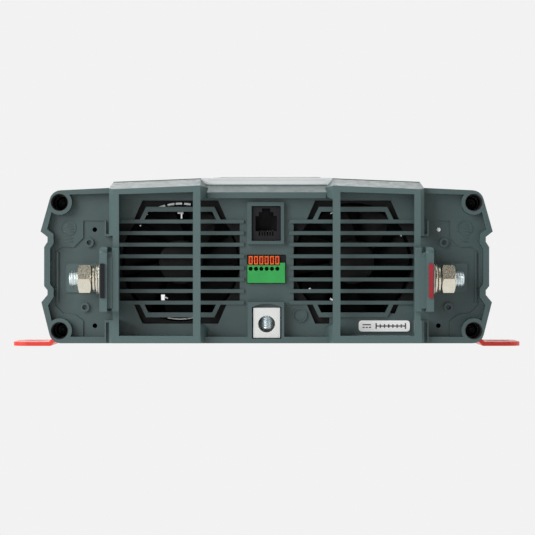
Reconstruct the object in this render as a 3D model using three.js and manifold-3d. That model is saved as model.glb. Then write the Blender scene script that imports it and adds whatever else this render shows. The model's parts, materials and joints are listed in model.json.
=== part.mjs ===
// A 1000 W class power inverter: moulded end caps on a folded metal body, with two fan vents,
// two stud terminals, a remote jack, a signal terminal block and a ground lug on the DC end,
// and a duplex receptacle, power switch and breaker on the AC end.
//
// Units are millimetres, +Z up. The DC end faces -Y. Inside this file Y is counted from the
// face of the DC panel and Z from 1.6 mm above the underside of the feet; the last group moves
// everything so that the origin is at the middle of the footprint, on the surface it stands on.

import * as THREE from 'three';
import * as BufferGeometryUtils from 'three/addons/utils/BufferGeometryUtils.js';
import { ConvexGeometry } from 'three/addons/geometries/ConvexGeometry.js';
import Module from 'manifold-3d';

const wasm = await Module();
wasm.setup();

// ---------------------------------------------------------------- driving dimensions

const CLEAR = 0.3;              // gap between pieces that touch
const BODY_LENGTH = 300;        // from DC panel face to AC panel face
const RIM_Y = -6;               // front of an end cap's perimeter rim
const HOOD_Y = -14;             // front of the hoods over the vents
const RAISED_FLOOR = -0.8;      // height of the stepped corners of the wing floor
const PANEL = 2.4;              // thickness of an end cap's panel
const SKIRT = 20;               // how far an end cap reaches back over the body
const WALL = 2.2;               // wall of caps, chassis and cover
const FOOT_DROP = 1.6;          // feet reach this far below the cap datum

const CAP_BOTTOM = 1.4;
const CAP_CENTRE_TOP = 76.8;
const ROOF = 80.3;              // top of the cover's middle plateau
const PLATEAU = 28;             // half width of the level middle of the roof
const HOOD_IN = 31.2;           // inner edge of a hood's front frame
const HOOD_OUT = 72.5;          // outer edge of a hood's front frame
const HOOD_SIDE = 74.4;         // outer side wall of a hood
const HOOD_ROOF_FALL = 1.7;     // drop of a hood's top edge from inside to outside

const WELL_X = 98.4;            // cap screw wells
const WELL_LOW = 7.4;
const WELL_HIGH = 68.3;
const WELL_R = 4.15;

const VENT_X = 41.3;            // middle of each vent and fan
const VENT_Z = 40;
const BAR_PITCH = 5.54;
const BAR_T = 1.8;
const BAR_COUNT = 8;
const SLOT_IN = 12.85;          // inner ends of the vent slots
const SLOT_OUT = 71.2;          // outer ends, behind the hood's outer post

const STUD_Y = -12;             // terminal stud axis in front of the wing floor
const STUD_Z = 32;
const STUD_R = 3.8;

const FAN_R = 28.5;
const FAN_DEPTH = 15;

const COLOURS = {
  slate: 0x3f4a4a,
  charcoal: 0x2c3233,
  cover: 0xdfe3e3,
  overlay: 0xf2f3f3,
  red: 0xc8342c,
  zinc: 0xc9c6bd,
  tin: 0xd8d8d4,
  copper: 0xb9744a,
  black: 0x111213,
  green: 0x2f9f4a,
  orange: 0xc8481a,
  white: 0xf4f4f0,
  board: 0x1d5a35,
  aluminium: 0x9ba1a4,
  ivory: 0xe9e6dc,
};

// ---------------------------------------------------------------- solids

function toManifold(geometry) {
  let bare = geometry.clone();
  bare.deleteAttribute('normal');
  bare.deleteAttribute('uv');
  bare = BufferGeometryUtils.mergeVertices(bare, 1e-4);
  const vertProperties = new Float32Array(bare.attributes.position.array);
  const triVerts = new Uint32Array(bare.index.array);
  return new wasm.Manifold(new wasm.Mesh({ numProp: 3, vertProperties, triVerts }));
}

function toGeometry(solid) {
  const mesh = solid.getMesh();
  const geometry = new THREE.BufferGeometry();
  geometry.setAttribute('position', new THREE.BufferAttribute(mesh.vertProperties, 3));
  geometry.setIndex(new THREE.BufferAttribute(mesh.triVerts, 1));
  geometry.computeVertexNormals();
  return geometry;
}

const solidOf = (shape) => (shape instanceof THREE.BufferGeometry ? toManifold(shape) : shape);

function join(first, ...rest) {
  return rest.flat().reduce((sum, shape) => sum.add(solidOf(shape)), solidOf(first));
}

function cut(first, ...rest) {
  return rest.flat().reduce((sum, shape) => sum.subtract(solidOf(shape)), solidOf(first));
}

// A right-hand shape as it is for side 1, or turned over to the left for side -1.
function mirrored(shape, side) {
  return solidOf(shape).scale([side, 1, 1]);
}

// A block from its low and high limits.
function block([x0, x1], [y0, y1], [z0, z1]) {
  const geometry = new THREE.BoxGeometry(x1 - x0, y1 - y0, z1 - z0);
  return geometry.translate((x0 + x1) / 2, (y0 + y1) / 2, (z0 + z1) / 2);
}

// A round bar along X, Y or Z, between two places on that axis.
function rod(axis, radius, [from, to], [u, v], sides = 24) {
  const geometry = new THREE.CylinderGeometry(radius, radius, to - from, sides);
  const middle = (from + to) / 2;
  if (axis === 'x') {
    return geometry.rotateZ(Math.PI / 2).translate(middle, u, v);
  }
  if (axis === 'y') {
    return geometry.translate(u, middle, v);
  }
  return geometry.rotateX(Math.PI / 2).translate(u, v, middle);
}

// A plate standing in the X-Z plane, from an outline, between two places on Y.
function plate(outline, [front, back], arcSteps = 5) {
  const shape = outline instanceof THREE.Shape
    ? outline
    : new THREE.Shape(outline.map(([x, z]) => new THREE.Vector2(x, z)));
  const options = { depth: back - front, bevelEnabled: false, curveSegments: arcSteps };
  return new THREE.ExtrudeGeometry(shape, options).rotateX(Math.PI / 2).translate(0, back, 0);
}

// The convex solid round a list of points.
function hull(points) {
  return new ConvexGeometry(points.map(([x, y, z]) => new THREE.Vector3(x, y, z)));
}

const flipX = (points) => points.map(([x, ...rest]) => [-x, ...rest]);

// The whole outline of a shape that is the same left and right of X = 0.
const bothSides = (right) => [...right, ...flipX(right).reverse()];

// Points round part of a circle, angles in degrees.
function arc([cx, cz], radius, from, to, steps = 5) {
  return Array.from({ length: steps + 1 }, (_, i) => {
    const angle = THREE.MathUtils.degToRad(from + ((to - from) * i) / steps);
    return [cx + radius * Math.cos(angle), cz + radius * Math.sin(angle)];
  });
}

// The same path moved sideways, to its left for a positive distance.
function shifted(path, distance) {
  const normals = path.slice(1).map(([x, z], i) => {
    const [px, pz] = path[i];
    const length = Math.hypot(x - px, z - pz);
    return [-(z - pz) / length, (x - px) / length];
  });
  return path.map(([x, z], i) => {
    const a = normals[Math.max(i - 1, 0)];
    const b = normals[Math.min(i, normals.length - 1)];
    const scale = distance / (1 + a[0] * b[0] + a[1] * b[1]);
    return [x + (a[0] + b[0]) * scale, z + (a[1] + b[1]) * scale];
  });
}

// ---------------------------------------------------------------- scene graph helpers

const part = new THREE.Group();
const body = new THREE.Group();
const acEnd = new THREE.Group();

function material(colour, roughness, metalness = 0) {
  return new THREE.MeshStandardMaterial({ color: COLOURS[colour], roughness, metalness });
}

const finish = {
  slate: material('slate', 0.55),
  charcoal: material('charcoal', 0.5),
  cover: material('cover', 0.45, 0.1),
  overlay: material('overlay', 0.35),
  red: material('red', 0.4, 0.1),
  zinc: material('zinc', 0.3, 1),
  tin: material('tin', 0.35, 1),
  copper: material('copper', 0.35, 1),
  black: material('black', 0.5),
  green: material('green', 0.45),
  orange: material('orange', 0.4),
  white: material('white', 0.5),
  board: material('board', 0.5),
  aluminium: material('aluminium', 0.4, 1),
  ivory: material('ivory', 0.35),
};

function add(name, shape, look, group = body) {
  const geometry = shape instanceof THREE.BufferGeometry ? shape : toGeometry(shape);
  const mesh = new THREE.Mesh(geometry, finish[look]);
  mesh.name = name;
  group.add(mesh);
  return mesh;
}

// ---------------------------------------------------------------- body profile

// The right side of the body, from the bottom corner up to the seam groove.
const LOWER_SIDE = [
  ...arc([97.9, 6.8], 5.4, -90, -13),
  [107.0, 20.9],
  [104.1, 24.4],
  [104.1, 26.6],
  [105.7, 28.6],
  [105.7, 47.1],
  [104.1, 49.6],
  [104.1, 51.4],
];

// The same side from the seam groove to the top corner.
const UPPER_SIDE = [
  [104.1, 51.9],
  [107.4, 54.5],
  ...arc([97.7, 68.6], 5.5, 14, 88),
];

const WING_TOP = [75, 75.2];
const PLATEAU_EDGE = [73.6, ROOF - HOOD_ROOF_FALL];

function capOutline(roof) {
  return bothSides([[0.01, CAP_BOTTOM], ...LOWER_SIDE, ...UPPER_SIDE, ...roof]);
}

const BOSS_R = 5.9;
const wells = [-1, 1].flatMap((side) => [
  [side * WELL_X, WELL_LOW],
  [side * WELL_X, WELL_HIGH],
]);

const SCREW_SEAT = 12;

// The recess inside an end cap's rim, from the rim to the raised corners of the floor.
function rimRecess(top) {
  const side = [
    [100.4, 4.5],
    [103.9, 19.4],
    [101.2, 23.4],
    [101.2, 27.4],
    [102.9, 29.5],
    [102.9, 46.3],
    [101.2, 49.0],
    [101.3, 53.3],
    [104.3, 55.6],
    [100.9, 69.0],
    [98.0, 71.9],
  ];
  const outline = bothSides([[0.01, 4.5], ...side, ...top]);
  const bosses = wells.map((at) => rod('y', BOSS_R, [RIM_Y - 2, 2], at, 32));
  return cut(plate(outline, [RIM_Y - 1, RAISED_FLOOR]), bosses);
}

// An end cap's shell, open to the back, with its screw wells.
function capShell(roof, cavityTop) {
  const outline = capOutline(roof);
  const solid = solidOf(plate(outline, [RIM_Y, SKIRT]));
  const inner = bothSides([
    [0.01, CAP_BOTTOM + WALL],
    ...shifted(LOWER_SIDE, WALL),
    ...shifted(UPPER_SIDE, WALL),
    ...cavityTop,
  ]);
  const hollow = cut(solid, plate(inner, [PANEL, SKIRT + 1]));
  const bosses = wells.map((at) => rod('y', BOSS_R, [PANEL - 1, SCREW_SEAT + 3], at, 32));
  const trimmed = solid.intersect(join(...bosses));
  const bores = wells.map((at) => rod('y', WELL_R, [RIM_Y - 1, SCREW_SEAT], at, 32));
  const pilots = wells.map((at) => rod('y', 1.9, [SCREW_SEAT - 1, SKIRT + 1], at, 12));
  return { shell: join(hollow, trimmed), drills: [...bores, ...pilots] };
}

// ---------------------------------------------------------------- vents of the DC end

const barTop = VENT_Z + (BAR_COUNT / 2) * BAR_PITCH - BAR_PITCH / 2 + BAR_T / 2;
const slotHeight = BAR_PITCH - BAR_T;

// An outline above the top bar, mirrored below the bottom one when turned over.
function ventOutline(points, centre, turned) {
  const place = ([x, rise]) => [centre + x, turned ? 2 * VENT_Z - barTop - rise : barTop + rise];
  const right = points.map(place);
  const left = points.map(([x, rise]) => place([-x, rise])).reverse();
  return turned ? [...right, ...left].reverse() : [...right, ...left];
}

const INNER_SLOT = [[17.1, 0], [15.3, 3.8]];
const RIB = [[19.5, -0.4], [16.3, 6.1]];
const CHANNEL = [[22.1, 0], [18.1, 9.2]];

// Limits on X for a slot or bar of the vent round a centre, from its distances to X = 0.
const across = (centre, inner, outer) => (centre > 0 ? [inner, outer] : [-outer, -inner]);

function ventCuts(centre) {
  const through = [RAISED_FLOOR - 1, PANEL + 1];
  const slots = Array.from({ length: BAR_COUNT - 1 }, (_, i) => {
    const middle = VENT_Z + (i - (BAR_COUNT - 2) / 2) * BAR_PITCH;
    const limits = [middle - slotHeight / 2, middle + slotHeight / 2];
    return block(across(centre, SLOT_IN, SLOT_OUT), through, limits);
  });
  const rings = [false, true].flatMap((turned) => {
    const channel = cut(
      plate(ventOutline(CHANNEL, centre, turned), through),
      plate(ventOutline(RIB, centre, turned), [through[0] - 1, through[1] + 1]),
    );
    return [channel, plate(ventOutline(INNER_SLOT, centre, turned), through)];
  });
  return [...slots, ...rings];
}

// Raised ribs on the bars and round the small end slots.
function ventRibs(centre) {
  const proud = [-1.1, 0.6];
  const bars = Array.from({ length: BAR_COUNT }, (_, i) => {
    const middle = VENT_Z + (i - (BAR_COUNT - 1) / 2) * BAR_PITCH;
    const limits = [middle - BAR_T / 2, middle + BAR_T / 2];
    return block(across(centre, SLOT_IN - 2.1, SLOT_OUT + 0.9), proud, limits);
  });
  const ends = [false, true].map((turned) => cut(
    plate(ventOutline(RIB, centre, turned), proud),
    plate(ventOutline(INNER_SLOT, centre, turned), [proud[0] - 1, proud[1] + 1]),
  ));
  return [...bars, ...ends];
}

// ---------------------------------------------------------------- hoods of the DC end

const POST_IN = 34.7;
const POST_OUT = 69.6;
const HOOD_BOTTOM = CAP_BOTTOM + 0.3;
const HOOD_SILL = 5.2;
const FRAME_DEPTH = 3.2;
const UPPER_WALL_FROM = 52.3;
const LOWER_WALL_TO = 12.5;
const TRAY_OUT = 76.7;

// One hood for the right side: a frame on two posts in front of the vent, with a sloped roof.
function hood() {
  const frontTop = (x) => 76.0 - ((x - HOOD_IN) * HOOD_ROOF_FALL) / (HOOD_OUT - HOOD_IN);
  const frontUnder = (x) => 73.1 - ((x - HOOD_IN) * 1.3) / (HOOD_OUT - HOOD_IN);
  const roof = hull([
    [HOOD_IN, HOOD_Y, frontUnder(HOOD_IN)],
    [HOOD_IN, HOOD_Y, frontTop(HOOD_IN)],
    [HOOD_OUT, HOOD_Y, frontUnder(HOOD_OUT)],
    [HOOD_OUT, HOOD_Y, frontTop(HOOD_OUT)],
    [HOOD_SIDE, HOOD_Y + 2.5, 71.9],
    [HOOD_SIDE, HOOD_Y + 2.5, 74.8],
    [HOOD_IN + 0.4, 6, 73.4],
    [HOOD_IN + 0.4, 6, ROOF],
    [HOOD_SIDE, 6, 72.1],
    [HOOD_SIDE, 6, 75.3],
    [PLATEAU_EDGE[0], 6, PLATEAU_EDGE[1]],
  ]);
  const roofBack = plate([
    [HOOD_IN + 0.4, 73.4],
    [HOOD_SIDE, 72.1],
    [HOOD_SIDE, 75.3],
    PLATEAU_EDGE,
    [HOOD_IN + 0.4, ROOF],
  ], [5, SKIRT]);
  const upperGusset = hull([
    [HOOD_IN, HOOD_Y, 69.5],
    [HOOD_IN, HOOD_Y, 76.0],
    [HOOD_IN + 2.2, HOOD_Y, 69.5],
    [HOOD_IN + 2.2, HOOD_Y, 76.0],
    [28.6, RIM_Y, 71.0],
    [28.6, RIM_Y, 72.8],
    [27.9, -2.4, 71.0],
    [27.9, -2.4, 75.4],
    [HOOD_IN + 0.4, 1, 71.5],
    [HOOD_IN + 0.4, 1, 79.7],
  ]);
  const lowerGusset = hull([
    [HOOD_IN, HOOD_Y, HOOD_BOTTOM],
    [HOOD_IN, HOOD_Y, 10.6],
    [HOOD_IN + 2.2, HOOD_Y, HOOD_BOTTOM],
    [HOOD_IN + 2.2, HOOD_Y, 10.6],
    [PLATEAU, -0.5, HOOD_BOTTOM],
    [PLATEAU, -0.5, 8.4],
    [HOOD_IN + 0.4, 1, HOOD_BOTTOM],
    [HOOD_IN + 0.4, 1, 10.6],
  ]);
  const sideWall = (low, high) => hull([
    [HOOD_OUT, HOOD_Y, low],
    [HOOD_OUT, HOOD_Y, high],
    [HOOD_SIDE, HOOD_Y + 2.5, low],
    [HOOD_SIDE, HOOD_Y + 2.5, high],
    [HOOD_OUT, 1, low],
    [HOOD_OUT, 1, high],
    [HOOD_SIDE, 1, low],
    [HOOD_SIDE, 1, high],
  ]);
  const frame = [HOOD_Y, HOOD_Y + FRAME_DEPTH];
  const tray = (height, lip) => [
    block([HOOD_SIDE - 0.2, TRAY_OUT], [-7, 0.5], height),
    block([TRAY_OUT - 0.7, TRAY_OUT], [-9, 0.5], height),
    block([HOOD_SIDE - 0.2, TRAY_OUT], [-9, 0.5], lip),
  ];
  return [
    roof,
    roofBack,
    block([HOOD_IN, POST_IN], frame, [HOOD_BOTTOM, 74]),
    block([POST_OUT, HOOD_OUT], frame, [HOOD_BOTTOM, 73]),
    block([HOOD_IN, HOOD_OUT], [HOOD_Y, 1], [HOOD_BOTTOM, HOOD_SILL]),
    upperGusset,
    lowerGusset,
    sideWall(UPPER_WALL_FROM, 74.4),
    sideWall(HOOD_BOTTOM, LOWER_WALL_TO),
    block([POST_OUT + 0.5, HOOD_OUT + 0.5], [HOOD_Y, 1], [HOOD_BOTTOM, LOWER_WALL_TO]),
    ...tray([UPPER_WALL_FROM - 0.2, 59.6], [UPPER_WALL_FROM - 0.2, 53.3]),
    ...tray([CAP_BOTTOM + 0.4, LOWER_WALL_TO], [11.4, LOWER_WALL_TO]),
  ];
}

// Features on a wing floor: the deeper middle, bosses, small holes and moulding marks.
const WING_FLOOR = [
  [74.8, 4.5],
  [87.6, 4.5],
  [87.6, 12.0],
  [91.6, 15.0],
  [97.2, 15.5],
  [101.2, 19.6],
  [101.2, 45.2],
  [97.6, 47.3],
  [92.0, 47.2],
  [87.6, 51.6],
  [87.6, 59.8],
  [74.8, 59.8],
];
const WING_HOLES = [[82.2, 55.5], [82.1, 9.6]];
const WING_BOSSES = [[84.7, 49.3], [86.8, 18.4]];
const BUS_SLOT = { x: [77.8, 79.3], z: [24.6, 39.4] };

function ring(axisPoint, outer, inner, [front, back], sides) {
  const tube = rod('y', outer, [front, back], axisPoint, sides);
  return cut(tube, rod('y', inner, [front - 1, back + 1], axisPoint, sides));
}

function wingAdds(side) {
  const bosses = WING_BOSSES.map(([x, z]) => ring([side * x, z], 2.2, 1.2, [-1.8, 0.5], 16));
  const mark = ring([side * 94.7, 56.2], 3.7, 3.3, [RAISED_FLOOR - 0.35, RAISED_FLOOR + 0.3], 24);
  const pad = side > 0 ? [79.7, 96] : [-96, -79.7];
  const ridge = side > 0 ? [99.4, 100.2] : [-100.2, -99.4];
  return [
    ...bosses,
    mark,
    block(pad, [-0.7, 0.5], [25.3, 39.5]),
    block(ridge, [-1.4, 0.5], [20.6, 44.8]),
  ];
}

// ---------------------------------------------------------------- centre of the DC end

const JACK = { frame: [[-9.3, 8.3], [48.5, 68.6]], hole: [[-7.2, 6.7], [50.1, 66.7]] };
const SIGNAL = [[-9.5, 9.1], [29.7, 43.5]];
const LUG = { frame: [[-9, 8.3], [4, 21]], hole: [[-7, 7], [3.6, 18.6]], archR: 13.6 };

function centreAdds() {
  return [
    block(JACK.frame[0], [-3, 0.5], JACK.frame[1]),
    block(LUG.frame[0], [RIM_Y, 0.5], LUG.frame[1]),
    ring([15.9, 14.6], 3.4, 3.0, [RAISED_FLOOR - 0.3, 0.5], 24),
  ];
}

function centreCuts() {
  const through = [RIM_Y - 1, PANEL + 1];
  const disc = rod('y', LUG.archR, through, [0, LUG.hole[1][1] + 1.6 - LUG.archR], 96);
  const arch = solidOf(disc).intersect(solidOf(block([-6.6, 6.6], through, [15, 21])));
  return [
    block(JACK.hole[0], through, JACK.hole[1]),
    block(SIGNAL[0], through, SIGNAL[1]),
    block(LUG.hole[0], through, LUG.hole[1]),
    arch,
  ];
}

function frontCap() {
  const roof = [WING_TOP, [PLATEAU, CAP_CENTRE_TOP], [0.01, CAP_CENTRE_TOP]];
  const cavityTop = [[76, 71.6], [0.01, 71.6]];
  const { shell, drills } = capShell(roof, cavityTop);
  const chamfer = hull([
    [-PLATEAU - 3, RIM_Y - 1, 72.5],
    [PLATEAU + 3, RIM_Y - 1, 72.5],
    [-PLATEAU - 3, 0.4, CAP_CENTRE_TOP + 0.3],
    [PLATEAU + 3, 0.4, CAP_CENTRE_TOP + 0.3],
    [-PLATEAU - 3, RIM_Y - 1, ROOF],
    [PLATEAU + 3, RIM_Y - 1, ROOF],
  ]);
  const recess = rimRecess([[75, 72.6], [PLATEAU + 0.5, 72.6], [PLATEAU, 70.3], [0.01, 70.3]]);
  const floors = [-1, 1].map((side) => {
    const outline = side > 0 ? WING_FLOOR : flipX(WING_FLOOR).reverse();
    return plate(outline, [RAISED_FLOOR - 1, 0]);
  });
  const middleFloor = block([-74.9, 74.9], [RAISED_FLOOR - 1, 0], [4.5, 70.3]);
  const hoods = [1, -1].map((side) => mirrored(join(...hood()), side));
  const through = [RAISED_FLOOR - 1, PANEL + 1];
  const holes = [-1, 1].flatMap((side) => [
    ...WING_HOLES.map(([x, z]) => rod('y', 1.15, through, [side * x, z], 12)),
    block(BUS_SLOT.x.map((x) => side * x).sort((a, b) => a - b), through, BUS_SLOT.z),
  ]);

  const recessed = cut(shell, chamfer, recess, floors, middleFloor);
  const vented = cut(recessed, ventCuts(-VENT_X), ventCuts(VENT_X));
  const labelRest = block([30, 70], [0, PANEL], [9, 19.6]);
  const rightSlot = plate([[60.7, 19.9], [58.9, 15.4], [61.4, 15.4], [63.2, 19.9]], through);
  const plugged = cut(
    join(vented, labelRest),
    plate(ventOutline(INNER_SLOT, VENT_X, true), through),
    rightSlot,
  );
  const detailed = join(
    plugged,
    ventRibs(-VENT_X),
    ventRibs(VENT_X),
    hoods,
    wingAdds(-1),
    wingAdds(1),
    centreAdds(),
  );
  return cut(detailed, drills, holes, centreCuts());
}

// ---------------------------------------------------------------- body shells

// The feet: a tab with a mounting slot, and an inner plate let into the chassis floor.
const FOOT = { in: 92, out: 126.6, thick: 2, width: 32 };
const FOOT_TONGUE = { x: 103.6, low: 2.3 };
const FOOT_SLOT = { x: 116.5, r: 3, length: 6 };
const FOOT_PLACES = { front: 52, rear: BODY_LENGTH - 52 };

const CHASSIS_INSET = 0.6;
const BACK = BODY_LENGTH - SKIRT - CLEAR;
const BODY_SPAN = [SKIRT + CLEAR, BACK];

function screwPort([x, z]) {
  return rod('y', 3.6, BODY_SPAN, [x, z], 12);
}

function portBore([x, z]) {
  return rod('y', 1.9, [BODY_SPAN[0] - 1, BODY_SPAN[1] + 1], [x, z], 12);
}

function chassis() {
  const side = shifted(LOWER_SIDE, CHASSIS_INSET);
  const inside = shifted(LOWER_SIDE, CHASSIS_INSET + WALL);
  const outline = [...side, ...[...inside].reverse(), ...flipX(inside), ...flipX(side).reverse()];
  const trough = plate(outline, BODY_SPAN);
  const lip = [
    [98.8, 44.6],
    [103.4, 44.6],
    [103.4, 46.4],
    [100.8, 48.4],
    [100.8, 56],
    [98.8, 56],
  ];
  const lips = [lip, flipX(lip).reverse()].map((path) => plate(path, BODY_SPAN));
  const ports = wells.filter(([, z]) => z === WELL_LOW);
  const footSeats = Object.values(FOOT_PLACES).flatMap((y) => [-1, 1].map((end) => {
    const reach = FOOT.width / 2 + CLEAR;
    const seat = block([FOOT.in - CLEAR, 110], [y - reach, y + reach], [0, 4.6]);
    return mirrored(seat, end);
  }));
  return cut(join(trough, lips, ports.map(screwPort)), ports.map(portBore), footSeats);
}

const COVER_ROOF = [[77.6, 75.0], PLATEAU_EDGE, [PLATEAU, ROOF]];

function cover() {
  const side = [...shifted(UPPER_SIDE, CHASSIS_INSET), ...COVER_ROOF];
  const inside = shifted(side, WALL);
  const outline = [...side, ...flipX(side).reverse(), ...flipX(inside), ...[...inside].reverse()];
  const shell = plate(outline, BODY_SPAN);
  const ports = wells.filter(([, z]) => z === WELL_HIGH);
  const tongueHalf = HOOD_IN + 0.1;
  const tongue = block([-tongueHalf, tongueHalf], [1.3, SKIRT + 2], [ROOF - WALL, ROOF]);
  const lip = block([-tongueHalf, tongueHalf], [1.3, 3], [CAP_CENTRE_TOP + CLEAR, ROOF]);
  return cut(join(shell, ports.map(screwPort), tongue, lip), ports.map(portBore));
}

// A printed sheet bonded to the roof's level middle. Its outline is drawn in X and Y.
const OVERLAY_T = 0.4;

function overlay() {
  const corner = 4;
  const half = PLATEAU - 2;
  const [from, to] = [5, BACK - 8];
  const outline = [
    ...arc([half - corner, from + corner], corner, -90, 0, 4),
    ...arc([half - corner, to - corner], corner, 0, 90, 4),
    ...arc([-half + corner, to - corner], corner, 90, 180, 4),
    ...arc([-half + corner, from + corner], corner, 180, 270, 4),
  ];
  const sheet = plate(outline, [-OVERLAY_T, 0]).rotateX(-Math.PI / 2);
  return sheet.translate(0, 0, ROOF + CLEAR);
}

// A bent foot with its middle at a place on Y, on the right for side 1 or the left for side -1.
function foot(middle, side) {
  const { x, low } = FOOT_TONGUE;
  const rise = low + FOOT_DROP;
  const section = [
    [FOOT.in, low],
    [x, low],
    [x + rise, -FOOT_DROP],
    [FOOT.out, -FOOT_DROP],
    [FOOT.out, FOOT.thick - FOOT_DROP],
    [x + rise + 1, FOOT.thick - FOOT_DROP],
    [x + 1, low + FOOT.thick],
    [FOOT.in, low + FOOT.thick],
  ];
  const span = [middle - FOOT.width / 2, middle + FOOT.width / 2];
  const strip = plate(section, span);
  const corner = 7;
  const keep = join(
    block([FOOT.in - 1, FOOT.out - corner], span, [-3, 6]),
    block([FOOT.in, FOOT.out + 1], [span[0] + corner, span[1] - corner], [-3, 6]),
    rod('z', corner, [-3, 6], [FOOT.out - corner, span[0] + corner], 24),
    rod('z', corner, [-3, 6], [FOOT.out - corner, span[1] - corner], 24),
  );
  const half = FOOT_SLOT.length / 2;
  const slot = join(
    rod('z', FOOT_SLOT.r, [-3, 2], [FOOT_SLOT.x - half, middle], 16),
    rod('z', FOOT_SLOT.r, [-3, 2], [FOOT_SLOT.x + half, middle], 16),
    block(
      [FOOT_SLOT.x - half, FOOT_SLOT.x + half],
      [middle - FOOT_SLOT.r + 0.01, middle + FOOT_SLOT.r - 0.01],
      [-3, 2],
    ),
  );
  return mirrored(cut(solidOf(strip).intersect(keep), slot), side);
}

// ---------------------------------------------------------------- DC terminals

// Everything on the stud is built for the right side and mirrored for the left. The stack's
// limits on X run outwards from the busbar.
const STUD_REACH = [74.9, 93];
const STACK = {
  bar: [78.2, 78.9],
  flat: [79.2, 80.3],
  spring: [80.6, 82.1],
  nut: [82.4, 88.6],
};

// A plate across X with its upper front corner rounded.
function finned(x, [y0, y1], [z0, z1]) {
  return join(
    block(x, [y0, y1], [z0, z1 - 3]),
    block(x, [y0 + 3, y1], [z0, z1]),
    rod('x', 3, x, [y0 + 3, z1 - 3], 20),
  );
}

function insulator() {
  const outer = [74.4, 77.9];
  const corner = 1.6;
  const face = join(
    block([outer[0], outer[1] - corner], [-30, 0], [10, 50]),
    block(outer, [-30, 0], [10, 47.1 - corner]),
    rod('y', corner, [-30, 0], [outer[1] - corner, 47.1 - corner], 20),
  );
  const flange = solidOf(finned(outer, [-24, -CLEAR], [16.8, 47.1])).intersect(face);
  const post = [POST_OUT - 0.4, 72.4];
  return cut(
    join(
      flange,
      finned([HOOD_OUT + 0.7, outer[0] + 0.2], [-21, -CLEAR], [18.3, 44.9]),
      finned([post[1] - 0.2, outer[0] + 0.2], [-21, HOOD_Y - CLEAR], [18.3, 44.9]),
      finned(post, [-20.5, HOOD_Y - CLEAR], [16.8, 47.1]),
    ),
    rod('x', STUD_R + CLEAR, [STUD_REACH[0] - CLEAR, 79], [STUD_Y, STUD_Z], 20),
  );
}

const insert = () => block([75.5, 77.5], [-25.2, -24 - CLEAR], [23.1, 39.2]);

// A copper strap with rounded front corners, out through the panel beside the insulator.
function busbar() {
  const corner = 3;
  const outline = [
    ...arc([-20 + corner, 25 + corner], corner, 180, 270, 4),
    [40, 25],
    [40, 39],
    ...arc([-20 + corner, 39 - corner], corner, 90, 180, 4),
  ];
  const strap = plate(outline, [-STACK.bar[1], -STACK.bar[0]]).rotateZ(Math.PI / 2);
  return cut(strap, rod('x', STUD_R + CLEAR, [77, 80], [STUD_Y, STUD_Z], 20));
}

const stud = () => rod('x', STUD_R, STUD_REACH, [STUD_Y, STUD_Z], 20);

function collar(span, radius) {
  const at = [STUD_Y, STUD_Z];
  return cut(
    rod('x', radius, span, at, 20),
    rod('x', STUD_R + CLEAR, [span[0] - 1, span[1] + 1], at, 16),
  );
}

// An M8 nut, 13 mm across flats, with one corner to the front.
function nut() {
  const [from, to] = STACK.nut;
  const corner = 13 / 2 / Math.cos(Math.PI / 6);
  const hex = new THREE.CylinderGeometry(corner, corner, to - from, 6);
  hex.rotateZ(Math.PI / 2).rotateX(Math.PI / 6);
  hex.translate((from + to) / 2, STUD_Y, STUD_Z);
  return cut(hex, rod('x', STUD_R + CLEAR, [from - 1, to + 1], [STUD_Y, STUD_Z], 16));
}

// ---------------------------------------------------------------- DC end fittings

function remoteJack() {
  const [[x0, x1], [z0, z1]] = JACK.hole;
  const middle = (x0 + x1) / 2;
  const shell = block([x0 + CLEAR, x1 - CLEAR], [-1.5, 14], [z0 + CLEAR, z1 - CLEAR]);
  const steps = [
    [5.1, [54.8, 61.9]],
    [3.5, [61.8, 63.8]],
    [2.0, [63.7, 65.6]],
  ];
  const contacts = Array.from({ length: 6 }, (_, i) => {
    const x = middle + (i - 2.5) * 1.27;
    return block([x - 0.3, x + 0.3], [-2, 6], [52.6, 54.9]);
  });
  const cavity = steps.map(([half, z]) => block([middle - half, middle + half], [-2, 11], z));
  return cut(shell, cavity, contacts);
}

const LEVER = { pitch: 2.54, first: -7.6, width: 1.9, z: [38.8, 42.9] };
const BLOCK_FRONT = -2;
const leverX = (i) => LEVER.first + i * LEVER.pitch;

function signalBlock() {
  const [[x0, x1], [z0, z1]] = SIGNAL;
  const shell = block([x0 + CLEAR, x1 - CLEAR], [BLOCK_FRONT, 11], [z0 + CLEAR, z1 - CLEAR]);
  const end = leverX(5) + LEVER.width / 2 + CLEAR;
  const deep = [BLOCK_FRONT - 1, 4.5];
  const bay = block([LEVER.first - LEVER.width / 2 - CLEAR, end], deep, [LEVER.z[0] - CLEAR, z1]);
  const notch = block([end - 0.1, x1], deep, [39.7, z1]);
  const entries = Array.from({ length: 6 }, (_, i) => {
    return rod('y', 1.0, [BLOCK_FRONT - 1, 7], [leverX(i), 36.8], 12);
  });
  return cut(shell, bay, notch, entries);
}

function lever(i) {
  const x = [leverX(i) - LEVER.width / 2, leverX(i) + LEVER.width / 2];
  const shape = block(x, [BLOCK_FRONT - 0.3, 2.6], LEVER.z);
  return cut(shape, block(
    [leverX(i) - 0.5, leverX(i) + 0.5],
    [BLOCK_FRONT - 1, BLOCK_FRONT + 0.9],
    [39.5, 42.2],
  ));
}

// The set screw comes down across the wire hole.
const LUG_HOLE = { r: 4, z: 10.5, depth: 7 };
const LUG_SCREW = { r: 2.8, y: -0.8, z: [8.2, 17.4] };

function groundLug() {
  const solid = block([-6.45, 6.45], [RIM_Y + 0.8, 9], [3.9, 18.3]);
  return cut(
    solid,
    rod('y', LUG_HOLE.r, [RIM_Y - 1, LUG_HOLE.depth], [0, LUG_HOLE.z], 28),
    rod('z', LUG_SCREW.r + CLEAR, [11, 19.5], [0, LUG_SCREW.y], 20),
  );
}

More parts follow.
